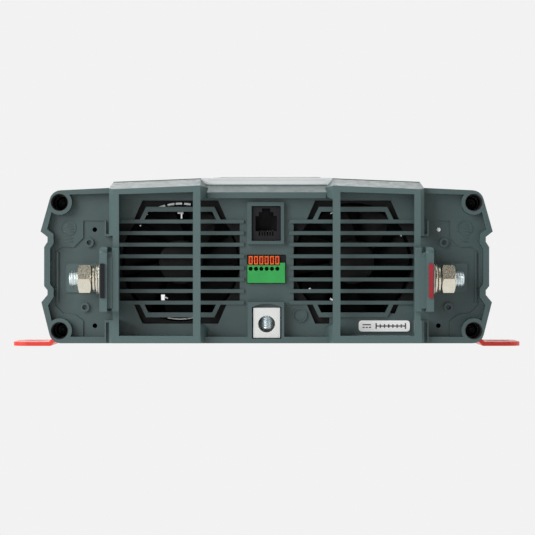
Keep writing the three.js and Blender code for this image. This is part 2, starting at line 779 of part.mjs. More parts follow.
// A sticker with rounded corners under the right vent.
function ratingLabel() {
  const corner = 1.4;
  const [x0, x1, z0, z1] = [44, 68.4, 6.8, 12.1];
  const outline = [
    ...arc([x1 - corner, z0 + corner], corner, -90, 0, 3),
    ...arc([x1 - corner, z1 - corner], corner, 0, 90, 3),
    ...arc([x0 + corner, z1 - corner], corner, 90, 180, 3),
    ...arc([x0 + corner, z0 + corner], corner, 180, 270, 3),
  ];
  return plate(outline, [-0.8, -CLEAR]);
}

// ---------------------------------------------------------------- fans

function fanFrame(x) {
  const [front, back] = [PANEL + 0.8, PANEL + 0.8 + FAN_DEPTH];
  const half = 29.8;
  const square = block([x - half, x + half], [front, back], [VENT_Z - half, VENT_Z + half]);
  const holes = [-1, 1].flatMap((a) => [-1, 1].map((b) => {
    return rod('y', 2.1, [front - 1, back + 1], [x + a * 25, VENT_Z + b * 25], 12);
  }));
  const duct = rod('y', FAN_R, [front - 1, back + 1], [x, VENT_Z], 40);
  const motor = rod('y', 11, [back - 3, back], [x, VENT_Z], 24);
  const struts = [0, 120, 240].map((angle) => {
    const spoke = block([-1.4, 1.4], [back - 2, back], [8, FAN_R + 0.4]);
    return spoke.rotateY(THREE.MathUtils.degToRad(angle + 20)).translate(x, 0, VENT_Z);
  });
  return join(cut(square, duct, holes), motor, struts);
}

function fanRotor(x) {
  const [front, back] = [PANEL + 1.6, PANEL + FAN_DEPTH - 3];
  const hub = cut(
    rod('y', 11, [front, back], [x, VENT_Z], 24),
    rod('y', 9.6, [back - 6, back + 1], [x, VENT_Z], 24),
  );
  const blades = Array.from({ length: 7 }, (_, i) => {
    const blade = new THREE.BoxGeometry(1.1, back - front + 3, FAN_R - 11.5);
    blade.rotateZ(0.72);
    blade.translate(0, 0, (FAN_R + 9.7) / 2);
    blade.rotateY((i * 2 * Math.PI) / 7);
    return blade.translate(x, (front + back) / 2, VENT_Z);
  });
  const sweep = rod('y', FAN_R - 1, [front, back - 0.4], [x, VENT_Z], 28);
  return join(hub, solidOf(sweep).intersect(join(...blades)));
}

// ---------------------------------------------------------------- inside

function heatsink(side) {
  const base = block([86, 90], [60, 245], [16, 62]);
  const fins = Array.from({ length: 7 }, (_, i) => {
    const z = 18 + i * 7;
    return block([66, 87], [60, 245], [z, z + 2]);
  });
  return mirrored(join(base, fins), side);
}

function transformerCore() {
  const core = block([-30, 22], [120, 170], [16, 60]);
  return cut(
    core,
    block([-21, -13], [119, 171], [24, 52]),
    block([5, 13], [119, 171], [24, 52]),
  );
}

function transformerWinding() {
  const outline = bothSides([[16.6, 24.6], [16.6, 51.4]]).map(([x, z]) => [x - 4, z]);
  const coil = plate(outline, [113, 177]);
  return cut(coil, block([-13.4, 5.4], [119.4, 170.6], [20, 56]));
}

// ---------------------------------------------------------------- AC end

// The AC end is laid out facing -Y, seen from outside, and its group turns it to face +Y.
const SOCKET = { x: -42, z: 39, halfX: 33.4, halfZ: 16.6 };
const SWITCH = { x: 28, z: 48, halfX: 10.5, halfZ: 7.5 };
const BREAKER = { x: 28, z: 24, r: 4.2 };
const EXHAUST = { x: 68, z: 38, halfX: 21, bars: 8, pitch: 5.6, bar: 2 };
const SOCKET_FACE = -3.5;
const SWITCH_FACE = -2.2;
const TEST_X = [-3.6, 3.6];
const BUTTON = [2.6, 3.6];
const BUTTON_TRAVEL = 1.2;

function rearCap() {
  const roof = [WING_TOP, [HOOD_SIDE + 0.1, 75.3], PLATEAU_EDGE, [PLATEAU, ROOF], [0.01, ROOF]];
  const cavityTop = [[76, 72.0], [74, 74.5], [PLATEAU, 76.5], [0.01, 76.5]];
  const { shell, drills } = capShell(roof, cavityTop);
  const recess = rimRecess([[75, 72.6], [73, 75.4], [PLATEAU, 77.3], [0.01, 77.3]]);
  const through = [RIM_Y - 1, PANEL + 1];
  const slots = Array.from({ length: EXHAUST.bars }, (_, i) => {
    const z = EXHAUST.z + (i - (EXHAUST.bars - 1) / 2) * EXHAUST.pitch;
    const gap = (EXHAUST.pitch - EXHAUST.bar) / 2;
    return block([EXHAUST.x - EXHAUST.halfX, EXHAUST.x + EXHAUST.halfX], through, [z - gap, z + gap]);
  });
  const windows = [SOCKET, SWITCH].map(({ x, z, halfX, halfZ }) => {
    const grow = CLEAR;
    return block([x - halfX - grow, x + halfX + grow], through, [z - halfZ - grow, z + halfZ + grow]);
  });
  const breakerHole = rod('y', BREAKER.r + CLEAR, through, [BREAKER.x, BREAKER.z], 24);
  return cut(shell, recess, slots, windows, breakerHole, drills);
}

function socket() {
  const { x, z, halfX, halfZ } = SOCKET;
  const face = block([x - halfX, x + halfX], [SOCKET_FACE, 14], [z - halfZ, z + halfZ]);
  const outlets = [-1, 1].flatMap((side) => {
    const middle = x + side * 20;
    const deep = [SOCKET_FACE - 1, SOCKET_FACE + 9];
    return [
      block([middle - 4, middle + 4], deep, [z + 5.6, z + 7.8]),
      block([middle - 3.2, middle + 3.2], deep, [z - 7.6, z - 5.6]),
      rod('y', 2.5, deep, [middle + side * 7.6, z], 16),
    ];
  });
  const bays = TEST_X.map((dx) => {
    const reach = BUTTON.map((half) => half + CLEAR);
    return block(
      [x + dx - reach[0], x + dx + reach[0]],
      [SOCKET_FACE - 1, SOCKET_FACE + 4],
      [z - reach[1], z + reach[1]],
    );
  });
  return cut(face, outlets, bays);
}

function socketButton(dx) {
  const { x, z } = SOCKET;
  return block(
    [x + dx - BUTTON[0], x + dx + BUTTON[0]],
    [SOCKET_FACE - 1.4, SOCKET_FACE + 2.4],
    [z - BUTTON[1], z + BUTTON[1]],
  );
}

function switchHousing() {
  const { x, z, halfX, halfZ } = SWITCH;
  const shell = block([x - halfX, x + halfX], [-0.8 + CLEAR, 13], [z - halfZ, z + halfZ]);
  const flange = block(
    [x - halfX - 1.5, x + halfX + 1.5],
    [SWITCH_FACE, RAISED_FLOOR - CLEAR],
    [z - halfZ - 1.5, z + halfZ + 1.5],
  );
  const neck = block([x - halfX + 1, x + halfX - 1], [-1.6, 1], [z - halfZ + 1, z + halfZ - 1]);
  const bay = block(
    [x - halfX + 1.6, x + halfX - 1.6],
    [SWITCH_FACE - 1, 9],
    [z - halfZ + 1.2, z + halfZ - 1.2],
  );
  return cut(join(shell, flange, neck), bay);
}

// The rocker turns about an axis along X inside the housing, and rests in its off position.
const ROCKER = { y: 2.5, tilt: 8, half: 5.1 };

function rocker() {
  const { x, z, halfX } = SWITCH;
  const paddle = hull([-1, 1].flatMap((side) => [
    [side * (halfX - 2.4), -5.6, -ROCKER.half],
    [side * (halfX - 2.4), -4.8, 0],
    [side * (halfX - 2.4), -5.6, ROCKER.half],
    [side * (halfX - 2.4), -2.2, -ROCKER.half - 0.1],
    [side * (halfX - 2.4), -2.2, ROCKER.half + 0.1],
    [side * (halfX - 2.4), 2.4, 0],
  ]));
  return paddle.rotateX(THREE.MathUtils.degToRad(ROCKER.tilt)).translate(x, ROCKER.y, z);
}

function breakerButton() {
  const at = [BREAKER.x, BREAKER.z];
  return join(
    rod('y', 3.0, [-6.5, 3], at, 24),
    rod('y', 3.6, [-6.8, -4.6], at, 24),
  );
}

function breakerBezel() {
  const at = [BREAKER.x, BREAKER.z];
  return cut(
    join(
      rod('y', 6.4, [-2.6, RAISED_FLOOR - CLEAR], at, 24),
      rod('y', BREAKER.r, [-1.5, 8], at, 24),
    ),
    rod('y', 3.3, [-4, 5.5], at, 24),
  );
}

// ---------------------------------------------------------------- assembly

add('front_end_cap', frontCap(), 'slate');
add('base_chassis', chassis(), 'charcoal');
add('top_cover', cover(), 'cover');
add('top_overlay', overlay(), 'overlay');

for (const [end, y] of Object.entries(FOOT_PLACES)) {
  add(`mounting_foot_${end}_left`, foot(y, -1), 'red');
  add(`mounting_foot_${end}_right`, foot(y, 1), 'red');
}

for (const [side, pole] of [[-1, 'negative'], [1, 'positive']]) {
  add(`terminal_insulator_${pole}`, mirrored(insulator(), side), 'slate');
  add(`polarity_insert_${pole}`, mirrored(insert(), side), side > 0 ? 'red' : 'black');
  add(`busbar_${pole}`, mirrored(busbar(), side), 'tin');
  add(`terminal_stud_${pole}`, mirrored(stud(), side), 'zinc');
  add(`flat_washer_${pole}`, mirrored(collar(STACK.flat, 7.2), side), 'zinc');
  add(`spring_washer_${pole}`, mirrored(collar(STACK.spring, 6.2), side), 'zinc');
  add(`terminal_nut_${pole}`, mirrored(nut(), side), 'zinc');
}

add('remote_jack', remoteJack(), 'black');
add('signal_terminal_block', signalBlock(), 'green');
for (let i = 0; i < 6; i += 1) {
  add(`wire_release_${i + 1}`, lever(i), 'orange');
}
add('ground_lug', groundLug(), 'tin');
add('ground_lug_screw', rod('z', LUG_SCREW.r, LUG_SCREW.z, [0, LUG_SCREW.y], 16), 'zinc');
add('rating_label', ratingLabel(), 'white');

for (const [side, name] of [[-1, 'left'], [1, 'right']]) {
  add(`fan_frame_${name}`, fanFrame(side * VENT_X), 'black');
  add(`fan_rotor_${name}`, fanRotor(side * VENT_X), 'black');
  add(`heatsink_${name}`, heatsink(side), 'aluminium');
}
add('main_circuit_board', block([-92, 92], [42, 280], [11, 12.6]), 'board');
add('transformer_core', transformerCore(), 'charcoal');
add('transformer_winding', transformerWinding(), 'copper');
for (const [index, x] of [-18, 14].entries()) {
  add(`bus_capacitor_${index + 1}`, rod('z', 12.5, [14, 54], [x, 70], 24), 'black');
}

add('rear_end_cap', rearCap(), 'slate', acEnd);
add('duplex_receptacle', socket(), 'ivory', acEnd);
add('receptacle_test_button', socketButton(TEST_X[0]), 'black', acEnd);
add('receptacle_reset_button', socketButton(TEST_X[1]), 'red', acEnd);
add('power_switch_housing', switchHousing(), 'black', acEnd);
add('power_rocker', rocker(), 'black', acEnd);
add('breaker_bezel', breakerBezel(), 'black', acEnd);
add('breaker_button', breakerButton(), 'black', acEnd);

// Cap screws sit at the bottom of their wells, with their shanks in the body's screw ports.
function capScrew(at) {
  return join(
    rod('y', 3.4, [SCREW_SEAT - 2.6, SCREW_SEAT - CLEAR], at, 20),
    rod('y', 1.6, [SCREW_SEAT - 1, SKIRT + 12], at, 10),
  );
}
wells.forEach((at, i) => add(`front_cap_screw_${i + 1}`, capScrew(at), 'zinc'));
wells.forEach((at, i) => add(`rear_cap_screw_${i + 1}`, capScrew(at), 'zinc', acEnd));

// The AC end's group turns half round, so that its panel is at the far end of the body.
acEnd.rotation.z = Math.PI;
acEnd.position.y = BODY_LENGTH;
body.add(acEnd);

// The front of the polarity inserts and the front of the breaker button bound the length.
const FRONT_Y = -25.2;
const REAR_Y = BODY_LENGTH + 6.8;
body.position.set(0, -(FRONT_Y + REAR_Y) / 2, FOOT_DROP);
part.add(body);

export default part;
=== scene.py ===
"""Looks for the power inverter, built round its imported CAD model. Lengths are in metres unless a
name ends in _MM. The DC end faces -Y and the AC end faces +Y."""

import json
import math

import bmesh
import bpy
from mathutils import Matrix, Vector


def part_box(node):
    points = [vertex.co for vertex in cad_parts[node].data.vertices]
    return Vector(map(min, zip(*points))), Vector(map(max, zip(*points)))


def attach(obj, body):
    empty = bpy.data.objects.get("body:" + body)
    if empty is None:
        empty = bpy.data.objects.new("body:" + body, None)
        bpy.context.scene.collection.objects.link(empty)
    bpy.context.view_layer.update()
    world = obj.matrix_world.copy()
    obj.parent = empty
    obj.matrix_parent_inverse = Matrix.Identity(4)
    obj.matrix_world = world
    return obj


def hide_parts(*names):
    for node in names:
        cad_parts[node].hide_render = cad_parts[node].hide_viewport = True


MM = 0.001
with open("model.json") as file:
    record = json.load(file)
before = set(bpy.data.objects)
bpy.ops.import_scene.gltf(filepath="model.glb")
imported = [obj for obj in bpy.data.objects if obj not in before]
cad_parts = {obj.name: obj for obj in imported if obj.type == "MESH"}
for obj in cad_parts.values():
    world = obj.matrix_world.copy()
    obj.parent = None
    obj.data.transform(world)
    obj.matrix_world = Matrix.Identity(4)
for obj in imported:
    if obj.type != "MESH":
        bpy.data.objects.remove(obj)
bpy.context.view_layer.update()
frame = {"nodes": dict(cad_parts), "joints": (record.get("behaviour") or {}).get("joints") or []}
NODES = frame["nodes"]

# ------------------------------------------------------------------ places worked out from the frame

CAP_LOW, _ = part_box("front_end_cap")
_, REAR_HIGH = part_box("rear_end_cap")
HOOD_DEPTH_MM = 14
RIM_DEPTH_MM = 6
CAP_FOOT_MM = 1.4
PANEL_Y = CAP_LOW.y + HOOD_DEPTH_MM * MM
REAR_PANEL_Y = REAR_HIGH.y - RIM_DEPTH_MM * MM
DATUM_Z = CAP_LOW.z - CAP_FOOT_MM * MM

# Places on the ends that several pieces share, from the middle and above the datum.
FAN_X_MM = 41.3
FAN_HEIGHT_MM = 40
WELL_X_MM = 98.4
WELL_HEIGHTS_MM = (7.4, 68.3)
M8_PITCH_MM = 1.25


def dc(x, y, z):
    """A point on the DC end, from millimetres right of the middle, behind the panel and above the datum."""
    return Vector((x * MM, PANEL_Y + y * MM, DATUM_Z + z * MM))


def ac(x, y, z):
    """The same for the AC end, seen from outside it."""
    return Vector((-x * MM, REAR_PANEL_Y - y * MM, DATUM_Z + z * MM))


# ------------------------------------------------------------------ materials


def srgb(red, green, blue):
    """A linear colour from 0 to 255 screen values."""
    def linear(value):
        value /= 255
        return value / 12.92 if value <= 0.04045 else ((value + 0.055) / 1.055) ** 2.4

    return (linear(red), linear(green), linear(blue), 1.0)


class Look:
    """A node material round one Principled shader."""

    def __init__(self, name, roughness=0.5, metallic=0.0, **sockets):
        self.material = bpy.data.materials.new(name)
        self.material.use_nodes = True
        self.tree = self.material.node_tree
        self.tree.nodes.clear()
        self.shader = self.add("ShaderNodeBsdfPrincipled")
        output = self.add("ShaderNodeOutputMaterial")
        self.tree.links.new(self.shader.outputs[0], output.inputs[0])
        self.coords = self.add("ShaderNodeTexCoord").outputs["Object"]
        self.shader.inputs["Roughness"].default_value = roughness
        self.shader.inputs["Metallic"].default_value = metallic
        for socket, value in sockets.items():
            self.shader.inputs[socket.replace("_", " ")].default_value = value

    def add(self, kind):
        return self.tree.nodes.new(kind)

    def put(self, socket, value):
        if isinstance(value, bpy.types.NodeSocket):
            self.tree.links.new(value, socket)
        else:
            socket.default_value = value

    def stretched(self, scale):
        node = self.add("ShaderNodeMapping")
        node.inputs["Scale"].default_value = scale
        self.put(node.inputs["Vector"], self.coords)
        return node.outputs[0]

    def noise(self, size_mm, detail=3.0, roughness=0.55, stretch=None):
        """Cloudy noise whose features are about size_mm across."""
        node = self.add("ShaderNodeTexNoise")
        node.inputs["Scale"].default_value = 1 / (size_mm * MM)
        node.inputs["Detail"].default_value = detail
        node.inputs["Roughness"].default_value = roughness
        self.put(node.inputs["Vector"], self.stretched(stretch) if stretch else self.coords)
        return node.outputs[0]

    def cells(self, size_mm):
        node = self.add("ShaderNodeTexVoronoi")
        node.inputs["Scale"].default_value = 1 / (size_mm * MM)
        self.put(node.inputs["Vector"], self.coords)
        return node.outputs["Distance"]

    def spread(self, value, low, high, floor=0.35, ceiling=0.65):
        """A value from floor to ceiling moved to low to high."""
        node = self.add("ShaderNodeMapRange")
        self.put(node.inputs["Value"], value)
        node.inputs["From Min"].default_value = floor
        node.inputs["From Max"].default_value = ceiling
        node.inputs["To Min"].default_value = low
        node.inputs["To Max"].default_value = high
        return node.outputs[0]

    def blend(self, factor, first, second):
        node = self.add("ShaderNodeMix")
        node.data_type = "RGBA"
        self.put(node.inputs[0], factor)
        self.put(node.inputs[6], first)
        self.put(node.inputs[7], second)
        return node.outputs[2]

    def colour(self, value):
        self.put(self.shader.inputs["Base Color"], value)
        return self

    def rough(self, value):
        self.put(self.shader.inputs["Roughness"], value)
        return self

    def bump(self, *layers):
        """Layers of (height, depth in millimetres), each laid on the one before."""
        normal = None
        for height, depth_mm in layers:
            node = self.add("ShaderNodeBump")
            node.inputs["Distance"].default_value = depth_mm * MM
            self.put(node.inputs["Height"], height)
            if normal:
                self.put(node.inputs["Normal"], normal)
            normal = node.outputs[0]
        self.put(self.shader.inputs["Normal"], normal)
        return self


def varied(look, colour, size_mm, amount=0.08):
    """The colour, a little darker and lighter in soft patches."""
    dark = tuple(c * (1 - amount) for c in colour[:3]) + (1.0,)
    light = tuple(min(1, c * (1 + amount)) for c in colour[:3]) + (1.0,)
    return look.blend(look.spread(look.noise(size_mm), 0, 1), dark, light)


def moulded(name, colour, roughness=0.48, grain_mm=0.35, depth_mm=0.02, patch_mm=14, specular=0.5):
    """Injection-moulded plastic with a fine spark-eroded grain."""
    look = Look(name, IOR=1.5, Specular_IOR_Level=specular)
    look.colour(varied(look, colour, patch_mm, 0.06))
    look.rough(look.spread(look.noise(3.0), roughness - 0.05, roughness + 0.05))
    look.bump((look.noise(grain_mm, 2.0), depth_mm), (look.noise(patch_mm, 1.0), depth_mm * 1.5))
    return look.material


def slate_with_painted_light(name, colour, painted_light_gain=1.45):
    """The caps' plastic, with painted light: lighter on the faces that stand out in front of each panel."""
    look = Look(name, IOR=1.5)
    split = look.add("ShaderNodeSeparateXYZ")
    look.put(split.inputs[0], look.coords)
    # Painted light: faces 13 mm or more in front of the DC panel take the lighter tone, which fades to the
    # plain colour 4 mm in front of it.
    front = look.spread(split.outputs["Y"], 1, 0, PANEL_Y - 13 * MM, PANEL_Y - 4 * MM)
    tone_and_painted_light = tuple(min(1, c * painted_light_gain) for c in colour[:3]) + (1.0,)
    # Random patches a little towards the lighter tone, the plastic's own variation.
    patches = look.noise(14)
    base = look.blend(look.spread(patches, 0, 0.25), colour, tone_and_painted_light)
    look.colour(look.blend(front, base, tone_and_painted_light))
    look.rough(look.spread(look.noise(3.0), 0.32, 0.42))
    look.bump((look.noise(0.35, 2.0), 0.02), (look.noise(14, 1.0), 0.03))
    return look.material


def glossy(name, colour, roughness=0.28, amount=0.07):
    """Smooth moulded plastic with faint flow waviness."""
    look = Look(name, IOR=1.5)
    look.colour(varied(look, colour, 6, amount))
    look.rough(look.spread(look.noise(1.4), roughness - 0.05, roughness + 0.07))
    look.bump((look.noise(4.0, 1.0), 0.02), (look.noise(0.3, 1.0), 0.003))
    return look.material


def powder_coat(name, colour, roughness=0.42, peel_mm=0.9, depth_mm=0.02):
    """Baked powder paint on sheet metal, with orange peel."""
    look = Look(name, IOR=1.5, Coat_Weight=0.15, Coat_Roughness=0.25)
    look.colour(varied(look, colour, 30, 0.035))
    look.rough(look.spread(look.noise(9.0), roughness - 0.06, roughness + 0.06))
    look.bump((look.noise(peel_mm, 1.0), depth_mm), (look.cells(0.25), depth_mm * 0.15))
    return look.material


def plated(name, colour, roughness=0.26, tint=None, grain=(1, 1, 1), depth_mm=0.0015):
    """Plated steel or brass: metal with faint mottling and fine drawn scratches."""
    look = Look(name, metallic=1.0)
    patches = look.spread(look.noise(2.2, 4.0), 0, 1)
    look.colour(look.blend(patches, colour, tint or colour))
    look.rough(look.spread(look.noise(0.5, 3.0, 0.6, grain), roughness - 0.08, roughness + 0.12))
    look.bump((look.noise(0.18, 2.0, 0.6, grain), depth_mm), (look.noise(1.5, 2.0), depth_mm * 2))
    return look.material


def printed_film(name, colour):
    look = Look(name, IOR=1.5)
    look.colour(varied(look, colour, 18, 0.015))
    look.rough(look.spread(look.noise(5), 0.3, 0.42))
    look.bump((look.cells(0.16), 0.002), (look.noise(20, 1.0), 0.01))
    return look.material


def solder_mask(name, colour):
    look = Look(name, IOR=1.52)
    look.colour(varied(look, colour, 3, 0.18))
    look.rough(look.spread(look.noise(2), 0.3, 0.45))
    look.bump((look.cells(1.8), 0.02))
    return look.material


def overlay_film(name):
    """The roof's printed sheet: white, with a thin grey band across it near its DC end."""
    look = Look(name, IOR=1.5)
    split = look.add("ShaderNodeSeparateXYZ")
    look.put(split.inputs[0], look.coords)
    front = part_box("top_overlay")[0].y

    def band(start_mm, end_mm):
        low = look.add("ShaderNodeMath")
        low.operation = "GREATER_THAN"
        look.put(low.inputs[0], split.outputs["Y"])
        low.inputs[1].default_value = front + start_mm * MM
        high = look.add("ShaderNodeMath")
        high.operation = "LESS_THAN"
        look.put(high.inputs[0], split.outputs["Y"])
        high.inputs[1].default_value = front + end_mm * MM
        both = look.add("ShaderNodeMath")
        both.operation = "MULTIPLY"
        look.put(both.inputs[0], low.outputs[0])
        look.put(both.inputs[1], high.outputs[0])
        return both.outputs[0]

    base = varied(look, srgb(214, 217, 218), 25, 0.012)
    look.colour(look.blend(band(28, 31), base, srgb(150, 158, 160)))
    look.rough(look.spread(look.noise(6), 0.44, 0.56))
    look.bump((look.cells(0.16), 0.002))
    return look.material


MATERIALS = {
    # The caps' slate, with painted light on the faces in front of the DC panel.
    "slate": slate_with_painted_light("slate_moulding", srgb(62, 79, 79)),
    "slate_rough": moulded("slate_rough_patch", srgb(74, 92, 92), 0.6, 0.8, 0.05),
    "black": moulded("black_moulding", srgb(30, 31, 32), 0.42, 0.3, 0.012),
    "fan_black": moulded("black_fan_plastic", srgb(16, 15, 16), 0.6, 0.4, 0.01, specular=0.28),
    "insert_black": moulded("black_insert_plastic", srgb(16, 15, 22), 0.5, 0.3, 0.01, specular=0.25),
    "jack_black": moulded("black_jack_plastic", srgb(21, 21, 25), 0.5, 0.3, 0.008, specular=0.25),
    # Painted shade for the insides of the screw wells.
    "well_shade_black": moulded("painted_well_shade", srgb(40, 33, 33), 0.7, 0.3, 0.02),
    "chassis": powder_coat("slate_powder_coat", srgb(70, 80, 82)),
    "cover": powder_coat("light_powder_coat", srgb(211, 216, 216), 0.56, 1.1, 0.02),
    "overlay": overlay_film("printed_overlay"),
    "foot": powder_coat("red_powder_coat", srgb(218, 48, 32), 0.4, 0.8, 0.015),
    "red": glossy("red_insert_plastic", srgb(150, 22, 36), 0.4),
    # Dark red painted shade on the floor of each wire release's slot.
    "slot_shade_red": glossy("release_slot_painted_shade", srgb(168, 56, 16), 0.5),
    "zinc": plated("zinc_plate", srgb(229, 225, 210), 0.3, srgb(221, 215, 198), depth_mm=0.0001),
    "bright_screw": plated(
        "bright_set_screw", srgb(232, 240, 242), 0.34, srgb(216, 228, 232), depth_mm=0.0003
    ),
    "lug": powder_coat("satin_nickel_casting", srgb(208, 210, 208), 0.35, 0.5, 0.02),
    "tin": plated("tinned_copper", srgb(206, 205, 198), 0.34, srgb(188, 182, 170), (1, 0.15, 1)),
    "gold": plated("gilt_contact", srgb(214, 172, 96), 0.25, srgb(196, 150, 80)),
    "dull_contact": plated("dull_contact", srgb(70, 64, 56), 0.45, srgb(52, 48, 42)),
    "screw": plated("black_oxide_steel", srgb(46, 46, 48), 0.42, srgb(34, 34, 36)),
    "green": glossy("green_block_plastic", srgb(36, 150, 68), 0.42),
    "orange": glossy("orange_lever_plastic", srgb(222, 88, 26), 0.36),
    # White wire pieces placed as painted highlights for glints inside the fans.
    "glint_white": glossy("white_glint_wire", srgb(253, 253, 253), 0.16, 0.02),
    "label": printed_film("label_vinyl", srgb(255, 255, 255)),
    "ink": printed_film("label_ink", srgb(88, 90, 92)),
    # Painted shadow for the thin line along the roof's front edge.
    "edge_shadow": printed_film("cover_edge_painted_shadow", srgb(196, 186, 186)),
    "ivory": glossy("ivory_receptacle_plastic", srgb(222, 219, 210), 0.3, 0.012),
    "board": solder_mask("board_solder_mask", srgb(24, 82, 48)),
    "aluminium": plated("extruded_aluminium", srgb(176, 180, 184), 0.38, srgb(160, 165, 170), (1, 0.1, 1)),
    "ferrite": moulded("ground_ferrite", srgb(38, 38, 42), 0.6, 0.5, 0.03, 6),
    "winding": glossy("enamelled_winding", srgb(176, 96, 48), 0.3),
    "sleeve": glossy("capacitor_sleeve", srgb(28, 34, 58), 0.32),
}

CAD_LOOKS = {
    "slate": ["front_end_cap", "rear_end_cap", "terminal_insulator_negative", "terminal_insulator_positive"],
    "chassis": ["base_chassis"],
    "cover": ["top_cover"],
    "overlay": ["top_overlay"],
    "foot": [name for name in NODES if name.startswith("mounting_foot")],
    "red": ["polarity_insert_positive", "receptacle_reset_button"],
    "insert_black": ["polarity_insert_negative"],
    "black": [
        "receptacle_test_button",
        "power_switch_housing",
        "power_rocker",
        "breaker_bezel",
        "breaker_button",
    ],
    "jack_black": ["remote_jack"],
    "fan_black": ["fan_frame_left", "fan_frame_right", "fan_rotor_left", "fan_rotor_right"],
    "tin": ["busbar_negative", "busbar_positive"],
    "zinc": [
        name
        for name in NODES
        if name.startswith(("terminal_", "flat_", "spring_")) and "insul" not in name
    ],
    "lug": ["ground_lug"],
    "bright_screw": ["ground_lug_screw"],
    "green": ["signal_terminal_block"],
    "orange": [name for name in NODES if name.startswith("wire_release")],
    "label": ["rating_label"],
    "ivory": ["duplex_receptacle"],
    "board": ["main_circuit_board"],
    "aluminium": ["heatsink_left", "heatsink_right"],
    "ferrite": ["transformer_core"],
    "winding": ["transformer_winding"],
    "sleeve": ["bus_capacitor_1", "bus_capacitor_2"],
    "screw": [name for name in NODES if "cap_screw" in name],
}


def dress_cad():
    """Gives every CAD node its finish."""
    for look, names in CAD_LOOKS.items():
        for name in names:
            mesh = NODES[name].data
            mesh.materials.clear()
            mesh.materials.append(MATERIALS[look])


def soften(name, width_mm, segments=2):
    """Rounds a CAD node's edges with modifiers: its own mesh stays as it is."""
    node = NODES[name]
    weld = node.modifiers.new("weld", "WELD")
    weld.merge_threshold = 0.002 * MM
    edges = node.modifiers.new("edges", "BEVEL")
    edges.width = width_mm * MM
    edges.segments = segments
    edges.limit_method = "ANGLE"
    edges.angle_limit = math.radians(28)
    edges.miter_outer = "MITER_ARC"


# ------------------------------------------------------------------ mesh helpers


def mesh_piece(name, build, look, body="housing", stands_for=(), smooth=None):
    """A piece from a function that fills a bmesh, dressed and riding on its body."""
    bm = bmesh.new()
    build(bm)
    bmesh.ops.remove_doubles(bm, verts=bm.verts, dist=1e-7)
    bmesh.ops.recalc_face_normals(bm, faces=bm.faces)
    mesh = bpy.data.meshes.new(name)
    bm.to_mesh(mesh)
    bm.free()
    piece = bpy.data.objects.new(name, mesh)
    bpy.context.scene.collection.objects.link(piece)
    mesh.materials.append(MATERIALS[look])
    if smooth:
        mesh.shade_smooth()
        mesh.set_sharp_from_angle(angle=math.radians(smooth))
    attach(piece, body)
    if stands_for:
        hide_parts(*stands_for)
    return piece


def add_block(bm, low, high, bevel_mm=0.0, segments=2):
    """A block between two corners, with its edges rounded."""
    low, high = Vector(low), Vector(high)
    made = bmesh.ops.create_cube(bm, size=1.0)
    size = high - low
    size = Vector(abs(c) for c in size)
    middle = (low + high) / 2
    matrix = Matrix.Translation(middle) @ Matrix.Diagonal((*size, 1.0))
    bmesh.ops.transform(bm, matrix=matrix, verts=made["verts"])
    if bevel_mm:
        edges = {edge for vert in made["verts"] for edge in vert.link_edges}
        bmesh.ops.bevel(
            bm,
            geom=list(edges),
            offset=bevel_mm * MM,
            segments=segments,
            profile=0.5,
            affect="EDGES",
        )


def axis_frame(origin, axis):
    """A matrix that lays local Z along an axis from an origin."""
    turn = Vector((0, 0, 1)).rotation_difference(Vector(axis).normalized()).to_matrix().to_4x4()
    return Matrix.Translation(origin) @ turn


def add_lathe(bm, profile_mm, origin, axis, steps=32):
    """A closed ring or solid from (radius, height) points turned round an axis."""
    place = axis_frame(origin, axis)
    rings = []
    for radius, height in profile_mm:
        if radius < 1e-6:
            rings.append([bm.verts.new(place @ Vector((0, 0, height * MM)))])
            continue
        ring = []
        for i in range(steps):
            angle = math.tau * i / steps
            point = Vector((radius * math.cos(angle), radius * math.sin(angle), height)) * MM
            ring.append(bm.verts.new(place @ point))
        rings.append(ring)
    pairs = list(zip(rings, rings[1:]))
    if len(rings[0]) > 1:
        pairs.append((rings[-1], rings[0]))
    for lower, upper in pairs:
        for i in range(steps):
            j = (i + 1) % steps
            corners = [lower[i % len(lower)], lower[j % len(lower)]]
            corners += [upper[j % len(upper)], upper[i % len(upper)]]
            unique = list(dict.fromkeys(corners))
            if len(unique) > 2:
                bm.faces.new(unique)


def bridge(bm, first, second):
    """Quads between two closed rings of as many vertices."""
    count = len(first)
    for i in range(count):
        j = (i + 1) % count
        bm.faces.new((first[i], first[j], second[j], second[i]))


def add_plate(bm, place, outline, thick_mm):
    """A plate facing along Y, from (x, z) points round its front; sizes in millimetres."""
    front = [bm.verts.new(place + Vector((x, 0, z)) * MM) for x, z in outline]
    back = [bm.verts.new(place + Vector((x, thick_mm, z)) * MM) for x, z in outline]
    bm.faces.new(front)
    bm.faces.new(list(reversed(back)))
    bridge(bm, front, back)


def add_thread(bm, origin, axis, length_mm, radius_mm, pitch_mm, steps=28, depth_mm=None):
    """A threaded bar: one helical ridge round an axis, with a chamfered tip."""
    place = axis_frame(origin, axis)
    depth = depth_mm or 0.6 * pitch_mm
    rows = int(length_mm / pitch_mm * 6)
    chamfer = depth * 1.2
    grid = []
    for row in range(rows + 1):
        height = length_mm * row / rows
        ring = []
        for i in range(steps):
            turn = i / steps
            phase = (height / pitch_mm - turn) % 1.0
            ridge = 1 - abs(2 * phase - 1)
            radius = radius_mm - depth * (1 - min(1, ridge * 1.25))
            radius = min(radius, radius_mm - max(0, height - (length_mm - chamfer)))
            angle = math.tau * turn
            point = Vector((radius * math.cos(angle), radius * math.sin(angle), height)) * MM
            ring.append(bm.verts.new(place @ point))
        grid.append(ring)
    for lower, upper in zip(grid, grid[1:]):
        bridge(bm, lower, upper)
    bm.faces.new(list(reversed(grid[0])))
    bm.faces.new(grid[-1])


# ------------------------------------------------------------------ terminal hardware


